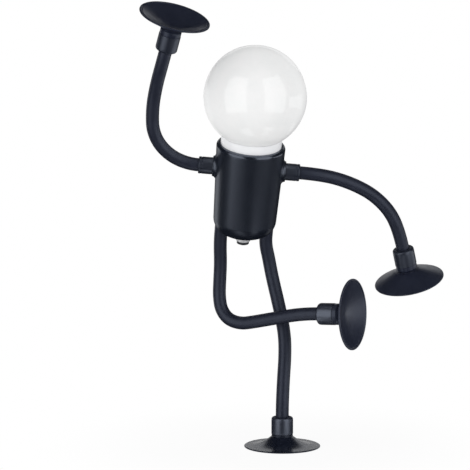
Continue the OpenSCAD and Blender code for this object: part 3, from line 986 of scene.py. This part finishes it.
@dataclass(frozen=True)
class Torso:
    """Place and main sizes of the body.

    Attributes:
        place: its frame, on the middle of its bottom face.
        height: height from its bottom face to its rim.
        rim_r: radius of its side at the rim.
        draft: slope of its side, in degrees.
        wall: thickness of its side.
        shoulder_height: height of the arms.
        shoulder_length: length of a shoulder ferrule outside the boss.
        boss_length: length of a shoulder boss outside the side.
        spigot_depth: length of a shoulder ferrule inside the wall.
        sleeve_r: radius of the sleeves.
        leg_edge: body left between a leg and the outside.
        leg_socket: height of the sockets that the legs go into.
    """

    place: Matrix
    height: float = 58.0
    rim_r: float = 20.75
    draft: float = 2.1
    wall: float = 2.4
    shoulder_height: float = 42.0
    shoulder_length: float = 8.5
    boss_length: float = 1.7
    spigot_depth: float = 3.8
    sleeve_r: float = 3.95
    leg_edge: float = 1.0
    leg_socket: float = 8.0

    @classmethod
    def leaning(cls, middle: Sequence[float], front: float, side: float) -> "Torso":
        """Stands the body on a point and leans it, in degrees."""
        lean = Matrix.Rotation(math.radians(side), 4, "Y") @ Matrix.Rotation(math.radians(front), 4, "X")
        return cls(Matrix.Translation(middle) @ lean)

    def side_r(self, height: float) -> float:
        """Gives the radius of the body's side at a height."""
        return self.rim_r - (self.height - height) * math.tan(math.radians(self.draft))

    def side_reach(self, height: float, beside: float) -> float:
        """Gives how far the body's side stands out at a height, to the front or back of its axis."""
        return math.sqrt(self.side_r(height) ** 2 - beside**2)

    @property
    def boss_reach(self) -> float:
        """Gives how far a shoulder boss stands out from the axis."""
        return self.side_r(self.shoulder_height) + self.boss_length

    @property
    def spigot_reach(self) -> float:
        """Gives where an arm's sleeve begins inside the body."""
        return self.side_r(self.shoulder_height) - self.wall - self.spigot_depth

    def shoulder(self, side: int) -> Matrix:
        """Gives a frame on the axis at shoulder height, its Z axis pointing out to one side."""
        up = Matrix.Translation((0.0, 0.0, self.shoulder_height))
        return self.place @ up @ Matrix.Rotation(side * math.pi / 2, 4, "Y")

    def knot(self, place: Sequence[float], way: Sequence[float]) -> Knot:
        """Turns a place and direction on the body into a knot."""
        return Knot(self.place @ Vector(place), (self.place.to_3x3() @ Vector(way)).normalized())

    def arm(self, side: int) -> list[Knot]:
        """Gives the knots of an arm within its shoulder."""
        reaches = (self.spigot_reach, self.boss_reach + self.shoulder_length)
        return [self.knot((side * x, 0.0, self.shoulder_height), (side, 0.0, 0.0)) for x in reaches]

    def leg(self, side: int) -> list[Knot]:
        """Gives the knots of a leg within the body's floor."""
        x = side * (self.side_r(0.0) - self.leg_edge - self.sleeve_r)
        return [self.knot((x, 0.0, z), (0.0, 0.0, -1.0)) for z in (self.leg_socket, -1.0)]


class Stance(Enum):
    """How a cup stands: free in the air or pressed on a face."""

    RELAXED = "relaxed"
    PRESSED = "pressed"


@dataclass(frozen=True)
class Cup:
    """A suction cup, drawn upwards from its rim.

    Attributes:
        stance: how it stands.
        radius: radius of its rim.
        height: height from its rim to its ferrule.
        lip: thickness of its lip.
        hollow: depth of its hollow.
        neck_h: height of its neck, the ring that meets the ferrule.
        waist: depth of the waist below the neck.
        neck_r: radius of the neck.
        stud_r: radius of the hole round the stud.
        head_r: radius of the hole round the stud's head.
        head_t: height of that hole.
        skin: rubber left under the stud's head.
        steps: number of pieces of a curve.
    """

    stance: Stance
    radius: float
    height: float
    lip: float
    hollow: float
    neck_h: float
    waist: float
    neck_r: float = 6.4
    stud_r: float = 2.05
    head_r: float = 3.25
    head_t: float = 1.3
    skin: float = 0.65
    steps: int = 28

    @property
    def look(self) -> str:
        """Gives the name of its finish."""
        # The pressed foot cup takes the darker copy of the rubber, which is painted shade.
        return "cup_rubber" if self.stance is Stance.RELAXED else "pressed_rubber_painted_shade"

    @property
    def base(self) -> float:
        """Gives the height of the waist."""
        return self.height - self.neck_h

    def outline(self) -> list[Point]:
        """Draws the cup from the middle of its hollow to the hole round its stud."""
        return self._relaxed() if self.stance is Stance.RELAXED else self._pressed()

    def _relaxed(self) -> list[Point]:
        """Draws a free cup: a shallow bell whose rounded lip is set off from the hollow by a groove.

        Returns:
            The outline.
        """
        r, lip = self.radius, self.lip
        edge = rounded(
            (r - 3.0, 1.0),
            (r - 1.95, 0.3, 0.3),
            (r - 1.5, 0.55, 0.15),
            (r - 1.0, 0.0, 0.3),
            (r, 0.0, 0.35),
            (r, lip, 0.3),
            (r - 1.5, lip + 0.75),
        )
        bell = arc((r - 0.35, lip + 0.12), (self.neck_r + 0.7, self.base - 0.25), 0.1, 24)
        dish = self._dish(r - 2.1, 0.35, self.hollow + 0.2)
        return dish + edge[1:-1] + bell + self._neck() + self._stud_hole()

    def _pressed(self) -> list[Point]:
        """Draws a cup that is pressed flat: a thin flange that rises to the neck ever more steeply.

        Returns:
            The outline.
        """
        r, lip, hollow_r = self.radius, self.lip, 14.7
        edge = rounded(
            (hollow_r, 0.0),
            (r, 0.0, 0.25),
            (r, lip * 0.62, 0.2),
            (r - 0.5, lip, 0.3),
            (hollow_r, lip + 0.3),
        )
        shares = [k / self.steps for k in range(1, self.steps + 1)]
        reach, climb = r - self.neck_r - 1.0, self.base - 0.2 - lip
        rise = [(r - 0.6 - share * reach, lip + climb * share**2.4) for share in shares]
        dish = self._dish(hollow_r - 1, 0.0, self.hollow)
        return dish + edge[:-1] + rise + self._neck() + self._stud_hole()

    def _dish(self, radius: float, low: float, depth: float) -> list[Point]:
        """Draws the hollow under the cup, a shallow cone with a rounded middle, outwards."""
        shares = [k / self.steps for k in range(self.steps)]
        return [(radius * share, low + (depth - low) * (1 - share**1.5)) for share in shares]

    def _neck(self) -> list[Point]:
        """Draws the ring that meets the ferrule, upwards from a fine waist above the bell.

        Returns:
            The ring's part of the outline.
        """
        r, top, base, waist = self.neck_r, self.height, self.base, self.waist
        return rounded(
            (r + 1.5, base - 0.5),
            (r - waist, base, 0.2),
            (r, base + 1.3 * waist, 0.9 * waist),
            (r, top - 0.12, 0.1),
            (r - 0.12, top, 0.05),
            (self.stud_r, top),
        )[1:-1]

    def _stud_hole(self) -> list[Point]:
        """Draws the hole that the stud is moulded into.

        Returns:
            The hole's part of the outline, from the cup's top to the axis.
        """
        low = self.hollow + self.skin
        high = low + self.head_t
        return [
            (self.stud_r, self.height),
            (self.stud_r, high),
            (self.head_r, high),
            (self.head_r, low),
            (0.0, low),
        ]


FREE_CUP = Cup(Stance.RELAXED, radius=21.3, height=11.6, lip=0.75, hollow=5.0, neck_h=4.2, waist=1.2)
FOOT_CUP = Cup(Stance.PRESSED, radius=23.0, height=7.8, lip=0.8, hollow=1.8, neck_h=1.4, waist=0.1)


@dataclass
class Limb:
    """A bendable limb: sleeve, core, end ferrule and suction cup.

    Attributes:
        name: start of its nodes' names.
        knots: its way from the body to the ferrule's mouth.
        bends: numbers of the knots at which it bends.
        bodies: the bodies it runs through, from the body outwards.
        core_back: how far the core reaches back into the body.
        cup: its suction cup.
        ferrule_look: finish of its end ferrule.
        sleeve_r: radius of the sleeve.
        core_r: radius of the core.
        grip: depth of the sleeve in the ferrule.
        ferrule_r: radius of the ferrule.
        ferrule_l: length of the ferrule.
        stud_r: radius of the stud's hole in the ferrule.
        stud_grip: depth of the stud in the ferrule.
        bend_half: how far a bend reaches to each side of its knot.
    """

    name: str
    knots: list[Knot]
    bends: tuple[int, int]
    bodies: tuple[str, str, str]
    core_back: float
    cup: Cup = FREE_CUP
    ferrule_look: str = "ferrule_black"
    sleeve_r: float = 3.95
    core_r: float = 2.0
    grip: float = 5.2
    ferrule_r: float = 6.55
    ferrule_l: float = 10.4
    stud_r: float = 2.05
    stud_grip: float = 4.0
    bend_half: float = 14.0

    def __post_init__(self) -> None:
        """Works out the route, which ends inside the ferrule."""
        tip = self.knots[-1]
        self.route = Route(self.knots + [Knot(tip.place + self.grip * tip.way, tip.way)])

    def build(self, shop: Workshop) -> None:
        """Builds the limb from the body outwards.

        Args:
            shop: the workshop.
        """
        seam = sum(self.route.stops[i] for i in self.bends) / 2
        self._stretch(shop, 0, 0.0, seam)
        self._stretch(shop, 1, seam, self.route.stops[-1])
        tip = self.route.frame(self.route.stops[-2])
        self._ferrule(shop, tip)
        self._cup(shop, tip @ Matrix.Translation((0.0, 0.0, self.ferrule_l)))
        shop.dress("plated_steel", f"{self.name}_stud")

    def _stretch(self, shop: Workshop, number: int, first: float, last: float) -> None:
        """Builds a stretch of the sleeve and the core, which bends at one joint.

        Args:
            shop: the workshop.
            number: 0 for the stretch at the body, 1 for the one at the cup.
            first: distance of its first end along the route.
            last: distance of its last end.
        """
        part = ("upper", "lower")[number]
        nodes = (("root", "middle"), ("end",))[number]
        soft = (number == 0, number == 1)
        hinge = self.route.stops[self.bends[number]]
        way = self.route.frame(hinge).col[2].to_3d() * self.bend_half
        ends = (self.route.point(hinge) - way, self.route.point(hinge) + way)
        bodies = (self.bodies[number], self.bodies[number + 1])
        sleeve = hose_outline(first, last, self.sleeve_r, self.core_r + FIT, soft)
        made = turned(f"{self.name}_sleeve_{part}", sleeve, self.route.frame, SLEEVE_SIDES)
        shop.bend(made, "sleeve_silicone", bodies, ends, [f"{self.name}_sleeve_{n}" for n in nodes])
        back = self.core_back if number == 0 else 0.0
        core = hose_outline(first - back, last, self.core_r, 0.0, soft)
        made = turned(f"{self.name}_core_{part}", core, self.route.frame, CORE_SIDES)
        shop.bend(made, "core_metal", bodies, ends, [f"{self.name}_core_{n}" for n in nodes])

    def _ferrule(self, shop: Workshop, tip: Matrix) -> None:
        """Builds the end ferrule, well rounded towards the sleeve.

        Args:
            shop: the workshop.
            tip: frame at the ferrule's mouth.
        """
        r, length, bore = self.ferrule_r, self.ferrule_l, self.sleeve_r + FIT
        seat, stud = self.grip + FIT, length - self.stud_grip - FIT
        outline = rounded(
            (0.0, seat),
            (bore, seat),
            (bore, 0.0, 0.2),
            (r - 0.12, 0.0, 1.3),
            (r, 2.2, 1.0),
            (r, length - 0.15, 0.12),
            (r - 0.15, length, 0.08),
            (self.stud_r, length),
            (self.stud_r, stud),
            (0.0, stud),
        )
        made = turned(f"{self.name}_ferrule_turned", outline, straight(tip), FERRULE_SIDES)
        shop.keep(made, "ferrule_black", self.bodies[2], f"{self.name}_ferrule", look=self.ferrule_look)

    def _cup(self, shop: Workshop, end: Matrix) -> None:
        """Builds the suction cup, whose rim looks away from the ferrule.

        Args:
            shop: the workshop.
            end: frame at the ferrule's end.
        """
        rim = end @ Matrix.Translation((0.0, 0.0, self.cup.height)) @ Matrix.Rotation(math.pi, 4, "X")
        made = turned(f"{self.name}_cup_moulded", self.cup.outline(), straight(rim), CUP_SIDES)
        shop.keep(made, "cup_rubber", self.bodies[2], f"{self.name}_cup", look=self.cup.look)


@dataclass
class Body:
    """The black body with its shoulders and all it holds.

    Attributes:
        torso: its place and main sizes.
        side_rings: heights of the rings of points up its side.
        bottom_round: radius of its rounded bottom edge.
        rim_round: radius of its rounded rim.
        mouth_r: radius of its mouth.
        mouth_depth: depth of its mouth.
        floor: thickness of its floor.
        bore_r: radius of the hole for the push button.
        window_w: distance between the round ends of the charging socket's window.
        window_r: radius of those ends.
        window_z: height of the window.
        flare_foot: radius of a shoulder's flare on the body's side.
        flare_neck: radius of the flare at its ferrule.
        flare_bore: radius of the hole in the flare.
        ferrule_r: radius of a shoulder ferrule.
    """

    torso: Torso
    side_rings: range = range(12, 56, 2)
    bottom_round: float = 10.0
    rim_round: float = 2.0
    mouth_r: float = 18.35
    mouth_depth: float = 9.0
    floor: float = 2.5
    bore_r: float = 3.05
    window_w: float = 5.8
    window_r: float = 1.75
    window_z: float = 20.0
    flare_foot: float = 8.8
    flare_neck: float = 6.15
    flare_bore: float = 5.4
    ferrule_r: float = 5.15

    def build(self, shop: Workshop) -> None:
        """Builds the body's shell and shoulders, and dresses what it holds.

        Args:
            shop: the workshop.
        """
        shop.keep(self._shell(), "body_black", "torso", "body_shell")
        for name, side in (("raised", -1), ("lowered", 1)):
            axis = straight(self.torso.shoulder(side))
            shop.keep(self._flare(name, side), "body_black", "torso")
            ferrule = turned(f"{name}_shoulder_turned", self._ferrule(), axis, FERRULE_SIDES)
            shop.keep(ferrule, "shoulder_black", "torso", f"{name}_shoulder_ferrule")
        shop.dress("plated_steel", "shoulder_nuts", "clamp_screws", "carrier_screws")
        shop.dress("clamp_black", "arm_bridge", "leg_deck", "switch_body")
        shop.dress("cell_foil", "battery_cell")
        shop.dress("board_green", "control_board")
        shop.dress("chip_dark", "board_components")
        shop.dress("bright_metal", "charging_socket", "switch_bezel")
        shop.dress("lead_red", "led_leads")
        shop.dress("button_black", "switch_button")

    def _shell(self) -> bpy.types.Object:
        """Builds the shell, well rounded at the bottom.

        Rings beside the bore and up the side keep the polish of an edge off the faces next to it.

        Returns:
            A closed piece with a window for the charging socket.
        """
        torso, seat = self.torso, self.torso.height - self.mouth_depth
        side = [(torso.side_r(height), height) for height in self.side_rings]
        outline = rounded(
            *((self.bore_r + apart, 0.0) for apart in (0.0, 0.3, 0.6)),
            (torso.side_r(0.0), 0.0, self.bottom_round),
            *side,
            (torso.rim_r, torso.height, self.rim_round),
            (self.mouth_r, torso.height, 0.15),
            (self.mouth_r, seat),
            (torso.side_r(seat) - torso.wall, seat),
            (torso.side_r(self.floor) - torso.wall, self.floor, self.bottom_round - torso.wall),
            (self.bore_r, self.floor),
        )
        shell = turned("body_moulded", outline, straight(torso.place), BODY_SIDES)
        cut(shell, self._window())
        return shell

    def _window(self) -> bpy.types.Object:
        """Builds what is cut out of the back for the charging socket.

        Returns:
            A bar with round ends that goes through the wall.
        """
        count, reaches = 48, (14.0, 24.0)
        spots: list[Vector] = []
        for reach in reaches:
            for k in range(count):
                angle = 2 * math.pi * (k + 0.5) / count
                across = self.window_r * math.cos(angle) + math.copysign(self.window_w / 2, math.cos(angle))
                spot = Vector((across, reach, self.window_z + self.window_r * math.sin(angle)))
                spots.append(self.torso.place @ spot * MM)
        faces = [[k, (k + 1) % count, (k + 1) % count + count, k + count] for k in range(count)]
        faces += [list(range(count))[::-1], list(range(count, 2 * count))]
        return solid("window_cutter", spots, faces)

    def _flare(self, name: str, side: int) -> bpy.types.Object:
        """Builds the flare that leads from the body's round side to a shoulder ferrule.

        Args:
            name: name of the arm.
            side: 1 for the lowered arm's side, -1 for the other.

        Returns:
            A closed piece, whose foot follows the body's side.
        """
        torso, foot, neck, bore = self.torso, self.flare_foot, self.flare_neck, self.flare_bore
        low, high, steps = -0.06, 0.9, 14

        def lift(down: float, beside: float, share: float) -> float:
            """Gives a height between the body's side and the end of the boss."""
            out = torso.side_reach(torso.shoulder_height - side * down, beside)
            return out + share * (torso.boss_reach - out)

        turns = [math.pi / 2 * k / steps for k in range(steps + 1)]
        curve = [(foot - (foot - neck) * math.sin(t), high - (high - low) * math.cos(t)) for t in turns]
        rest = [(neck - 0.04, 0.97), (neck - 0.2, 1.02), (bore, 1.02), (bore, -0.2), (foot, -0.2)]
        axis = straight(torso.shoulder(side))
        return turned(f"{name}_shoulder_fillet", curve + rest, axis, BODY_SIDES, lift)

    def _ferrule(self) -> list[Point]:
        """Draws a shoulder ferrule: a spigot through the wall, and a sleeve end with a fine groove.

        Returns:
            The closed outline.
        """
        r, bore = self.ferrule_r, self.torso.sleeve_r + FIT
        start, out = self.torso.spigot_reach, self.torso.boss_reach
        end = out + self.torso.shoulder_length
        return rounded(
            (bore, start),
            (r - 0.4, start),
            (r - 0.4, out),
            (r, out + 0.05),
            (r, end - 2.1, 0.1),
            (r - 0.2, end - 2.0, 0.08),
            (r - 0.2, end - 1.7, 0.08),
            (r, end - 1.6, 0.1),
            (r, end, 0.6),
            (bore, end),
        )


@dataclass
class Bulb:
    """The opal globe on its collar, and the lamp in it."""

    def build(self, shop: Workshop) -> None:
        """Dresses the bulb.

        Args:
            shop: the workshop.
        """
        shop.dress("globe_opal", "bulb_globe")
        shop.dress("collar_white", "bulb_collar")
        shop.dress("lamp_white", "lamp_carrier")
        shop.dress("board_white", "led_board")
        shop.dress("led_yellow", "leds")


# The studio


@dataclass(frozen=True)
class SoftBox:
    """A large lamp that looks at the object.

    Attributes:
        name: its name.
        place: where it hangs.
        width: its width.
        height: its height.
        power: its power in watts.
    """

    name: str
    place: Spot
    width: float
    height: float
    power: float

    def build(self, target: Vector) -> None:
        """Hangs the lamp.

        Args:
            target: the place that it looks at.
        """
        lamp = bpy.data.lights.new(self.name, "AREA")
        lamp.shape = "RECTANGLE"
        lamp.size = self.width
        lamp.size_y = self.height
        lamp.energy = self.power
        made = bpy.data.objects.new(self.name, lamp)
        made.location = self.place
        made.rotation_euler = (target - Vector(self.place)).to_track_quat("-Z", "Y").to_euler()
        made.visible_camera = False
        made.visible_glossy = False
        bpy.context.scene.collection.objects.link(made)


@dataclass(frozen=True)
class Window:
    """An opening of the tent, in degrees.

    Attributes:
        azimuth: direction of its middle, to the right of the front.
        half: half of its width.
        low: elevation of its lower edge.
        high: elevation of its upper edge.
    """

    azimuth: float
    half: float
    low: float
    high: float

    def shows(self, azimuth: float, elevation: float) -> bool:
        """Tells whether a direction leads through the opening."""
        beside = abs((azimuth - self.azimuth + 180) % 360 - 180)
        return beside < self.half and self.low < elevation < self.high


@dataclass
class Studio:
    """Pale floor, white surroundings, soft boxes, a dark tent and the camera.

    Attributes:
        ambient: strength of the surroundings as a lamp, where 1 is what they look like.
        target: the place that the camera looks at.
        eye: the camera's place.
        lens: the camera's focal length in millimetres.
        lit: the place that the lamps look at.
        floor_r: radius of the floor.
        floor_white: share of plain white in the look of the floor's middle.
        tent_r: radius of the tent.
        step: width of the tent's faces, in degrees.
        sheet_z: height of the dark sheet on the floor.
        sheet_rings: radii between which the sheet's three rings lie, the middle one with openings.
        sheet_opening: where those begin and end, in degrees to each side of the front.
        boxes: the lamps.
        windows: the tent's openings.
    """

    ambient: float = 0.715
    target: Vector = field(default_factory=lambda: Vector((-0.02856, 0.0, 0.12906)))
    eye: Vector = field(default_factory=lambda: Vector((-0.02856, -2.0, 0.4069)))
    lens: float = 257.8
    lit: Vector = field(default_factory=lambda: Vector((-0.03, 0.0, 0.17)))
    floor_r: float = 0.17
    floor_white: float = 0.9
    tent_r: float = 2.6
    step: int = 4
    sheet_z: float = 0.0015
    sheet_rings: tuple[float, ...] = (0.026, 0.036, 0.125, 0.172)
    sheet_opening: tuple[float, float] = (30, 68)
    boxes: tuple[SoftBox, ...] = (
        SoftBox("left_box", (-0.94, -0.84, 0.28), 0.66, 1.2, 4.8),
        SoftBox("right_box", (0.95, -0.79, 0.28), 0.7, 1.2, 4.2),
        SoftBox("back_box", (0.0, 1.25, 0.19), 1.0, 0.5, 2.6),
    )
    windows: tuple[Window, ...] = (
        Window(-46, 26, -24, 48),
        Window(46, 26, -24, 48),
        Window(184, 26, -2, 14),
        Window(174, 28, 14, 34),
        Window(-150, 26, -20, 8),
        Window(104, 26, -11, 3),
        Window(140, 14, -50, -22),
    )

    def build(self) -> None:
        """Sets up all that stands around the object."""
        self._world()
        self._floor()
        self._tent()
        for box in self.boxes:
            box.build(self.lit)
        self._camera()
        bpy.context.scene.view_settings.view_transform = "Standard"
        LOG.info("set up the studio")

    @staticmethod
    def _seen(shade: Shade) -> Wire:
        """Gives 1 on rays that show the surroundings.

        Args:
            shade: the tree of the world or a material.

        Returns:
            1 on a ray that is straight, mirrored or through glass, and 0 on others.
        """
        kinds = ("Is Camera Ray", "Is Glossy Ray", "Is Transmission Ray")
        rays = [shade.node("ShaderNodeLightPath", output=kind) for kind in kinds]
        return shade.math("MINIMUM", rays[0] + rays[1] + rays[2], 1.0)

    def _world(self) -> None:
        """Makes the surroundings white to look at, and dimmer as a lamp."""
        world = bpy.data.worlds.new("surroundings")
        bpy.context.scene.world = world
        shade = Shade(world)
        strength = self._seen(shade) * (1 - self.ambient) + self.ambient
        inputs = {"Color": (1.0, 1.0, 1.0, 1.0), "Strength": strength}
        shade.close(shade.node("ShaderNodeBackground", None, inputs), "ShaderNodeOutputWorld")

    def _floor(self) -> None:
        """Lays a round floor, white to look at, which keeps a faint shadow and fades outwards."""
        sides = 96
        turns = [2 * math.pi * k / sides for k in range(sides)]
        edge = [(self.floor_r * math.cos(turn), self.floor_r * math.sin(turn), 0.0) for turn in turns]
        shade = Shade(bpy.data.materials.new("floor_white"))
        spread = shade.node("ShaderNodeVectorMath", {"operation": "LENGTH"}, {0: shade.place()}, "Value")
        grey = shade.mix(shade.noise(60.0).ramp(0.3, 0.7), srgb(240, 240, 240), srgb(244, 244, 244))
        matt = shade.matt(grey)
        white = shade.node("ShaderNodeEmission", None, {"Color": (1.0, 1.0, 1.0, 1.0), "Strength": 1.0})
        outwards = spread.ramp(0.04, self.floor_r - 0.01)
        share = self._seen(shade) * (self.floor_white + outwards * (1 - self.floor_white))
        shade.close(shade.node("ShaderNodeMixShader", None, {0: share, 1: matt, 2: white}))
        self._stand("floor", edge, [range(sides)], shade.owner)

    def _tent(self) -> None:
        """Stands a dark tent round the object and lays a dark sheet on the floor.

        Only shiny surfaces show them, and their openings as streaks of light.
        """
        elevations = range(-88, 89, self.step)
        rises = [math.radians(elevation) for elevation in elevations]
        wall = [(self.tent_r * math.cos(rise), self.tent_r * math.sin(rise)) for rise in rises]
        sheet = [(ring, self.sheet_z) for ring in self.sheet_rings]
        low, high = self.sheet_opening

        def through_wall(azimuth: float, row: int) -> bool:
            """Tells whether a face of the wall lies in a window."""
            middle = elevations[row] + self.step / 2
            return any(window.shows(azimuth, middle) for window in self.windows)

        def through_sheet(azimuth: float, row: int) -> bool:
            """Tells whether a face of the sheet lies in an opening."""
            return row == 1 and low <= abs(azimuth) <= high

        spots, faces = self._wrapped(wall, through_wall)
        more_spots, more_faces = self._wrapped(sheet, through_sheet)
        faces += [[corner + len(spots) for corner in face] for face in more_faces]
        shade = Shade(bpy.data.materials.new("tent_dark"))
        cloth = shade.mix(shade.noise(300.0).ramp(0.3, 0.7), srgb(34, 36, 40), srgb(42, 44, 48))
        shade.close(shade.matt(cloth))
        tent = self._stand("tent", spots + more_spots, faces, shade.owner)
        tent.visible_camera = False
        tent.visible_diffuse = False
        tent.visible_shadow = False

    def _wrapped(
        self, rows: Sequence[Point], opened: Callable[[float, int], bool],
    ) -> tuple[list[Spot], list[list[int]]]:
        """Wraps rows of faces round the object.

        Args:
            rows: reach and height of each row of points.
            opened: tells whether the face at an azimuth, after a row, is left out.

        Returns:
            The points and the faces.
        """
        spots: list[Spot] = []
        faces: list[list[int]] = []
        columns = 360 // self.step
        for column in range(columns):
            azimuth = column * self.step - 180
            turn = math.radians(azimuth)
            spots += [(out * math.sin(turn), -out * math.cos(turn), up) for out, up in rows]
            for row in range(len(rows) - 1):
                here = column * len(rows) + row
                after = (column + 1) % columns * len(rows) + row
                if not opened(azimuth + self.step / 2, row):
                    faces.append([here, after, after + 1, here + 1])
        return spots, faces

    @staticmethod
    def _stand(
        name: str, spots: Sequence[Spot], faces: Sequence[Sequence[int]], material: bpy.types.Material,
    ) -> bpy.types.Object:
        """Puts up a piece of the studio.

        Args:
            name: its name.
            spots: its vertices.
            faces: its faces.
            material: its material.

        Returns:
            The piece, which isn't part of the object.
        """
        mesh = bpy.data.meshes.new(name)
        mesh.from_pydata(spots, [], faces)
        mesh.materials.append(material)
        made = bpy.data.objects.new(name, mesh)
        bpy.context.scene.collection.objects.link(made)
        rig.stage(made)
        return made

    def _camera(self) -> None:
        """Sets up the camera of the photograph."""
        data = bpy.data.cameras.new("camera")
        data.lens = self.lens
        data.sensor_width = 36.0
        data.clip_end = 50.0
        camera = bpy.data.objects.new("camera", data)
        camera.location = self.eye
        camera.rotation_euler = (self.target - self.eye).to_track_quat("-Z", "Y").to_euler()
        bpy.context.scene.collection.objects.link(camera)
        bpy.context.scene.camera = camera


def limbs(torso: Torso) -> list[Limb]:
    """Lists the four limbs, with their ways.

    Args:
        torso: the body that they leave.

    Returns:
        The limbs.
    """
    raised_arm = torso.arm(-1) + [
        Knot.at((-72.3, -2, 182.7), (-0.61, -0.2, 0.77)),
        Knot.at((-76.4, -10.5, 213.8), (0.17, -0.34, 0.92)),
        Knot.at((-69.3, -23, 242), (0.25, -0.28, 0.93)),
    ]
    lowered_arm = torso.arm(1) + [
        Knot.at((35, 6, 161.6), (0.88, 0.34, -0.32)),
        Knot.at((62.2, 18.5, 143.8), (0.62, 0.29, -0.73)),
        Knot.at((73.5, 26.2, 117.2), (0.2, 0.26, -0.94)),
    ]
    raised_leg = torso.leg(-1) + [
        Knot.at((-37.6, 18, 103), (-0.05, 0.1, -1)),
        Knot.at((-37.5, 17, 84.8), (0.15, -0.2, -0.97)),
        Knot.at((-29.5, 12, 74.7), (0.87, -0.43, -0.26)),
        Knot.at((-13.5, 3, 76.4), (0.85, -0.48, 0.23)),
        Knot.at((21.7, -16.3, 83.8), (0.91, -0.41, 0.05)),
    ]
    standing_leg = torso.leg(1) + [
        Knot.at((-7.5, 15.5, 109), (0.18, 0.02, -0.98)),
        Knot.at((-1.6, 12, 82.5), (0.22, -0.2, -0.96)),
        Knot.at((1.6, 7, 60), (0.01, -0.22, -0.97)),
        Knot.at((0.5, 2, 36), (-0.05, -0.14, -0.99)),
        Knot.at((0, 0, 18.2), (0, 0, -1)),
    ]
    arm_back, leg_back = 10.5, 5.5
    raised_hand = ("torso", "raised_forearm", "raised_hand")
    lowered_hand = ("torso", "lowered_forearm", "lowered_hand")
    raised_foot = ("torso", "raised_shin", "raised_foot")
    standing_foot = ("torso", "standing_shin", "standing_foot")
    arm_look = "shoulder_black"
    return [
        Limb("raised_arm", raised_arm, (2, 3), raised_hand, arm_back, ferrule_look=arm_look),
        Limb("lowered_arm", lowered_arm, (2, 3), lowered_hand, arm_back, ferrule_look=arm_look),
        Limb("raised_leg", raised_leg, (2, 5), raised_foot, leg_back),
        Limb("standing_leg", standing_leg, (2, 5), standing_foot, leg_back, FOOT_CUP),
    ]


def write_sizes(before: Any, after: Any) -> None:
    """Writes the bounds of the CAD and of the finished object.

    Args:
        before: corners of the CAD's box.
        after: corners of the finished object's box.
    """
    sizes = {"cad": [list(corner) for corner in before], "visual": [list(corner) for corner in after]}
    with open("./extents.json", "w", encoding="utf-8") as file:
        json.dump(sizes, file)


def main() -> None:
    """Builds the whole scene."""
    logging.basicConfig(level=logging.INFO, format="%(name)s: %(message)s")
    shop = Workshop(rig.load())
    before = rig.bounds()
    torso = Torso.leaning((-23.4, 12.0, 128.5), 15.0, 4.6)
    Body(torso).build(shop)
    Bulb().build(shop)
    for limb in limbs(torso):
        limb.build(shop)
    Studio().build()
    write_sizes(before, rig.bounds())


if __name__ == "__main__":
    main()
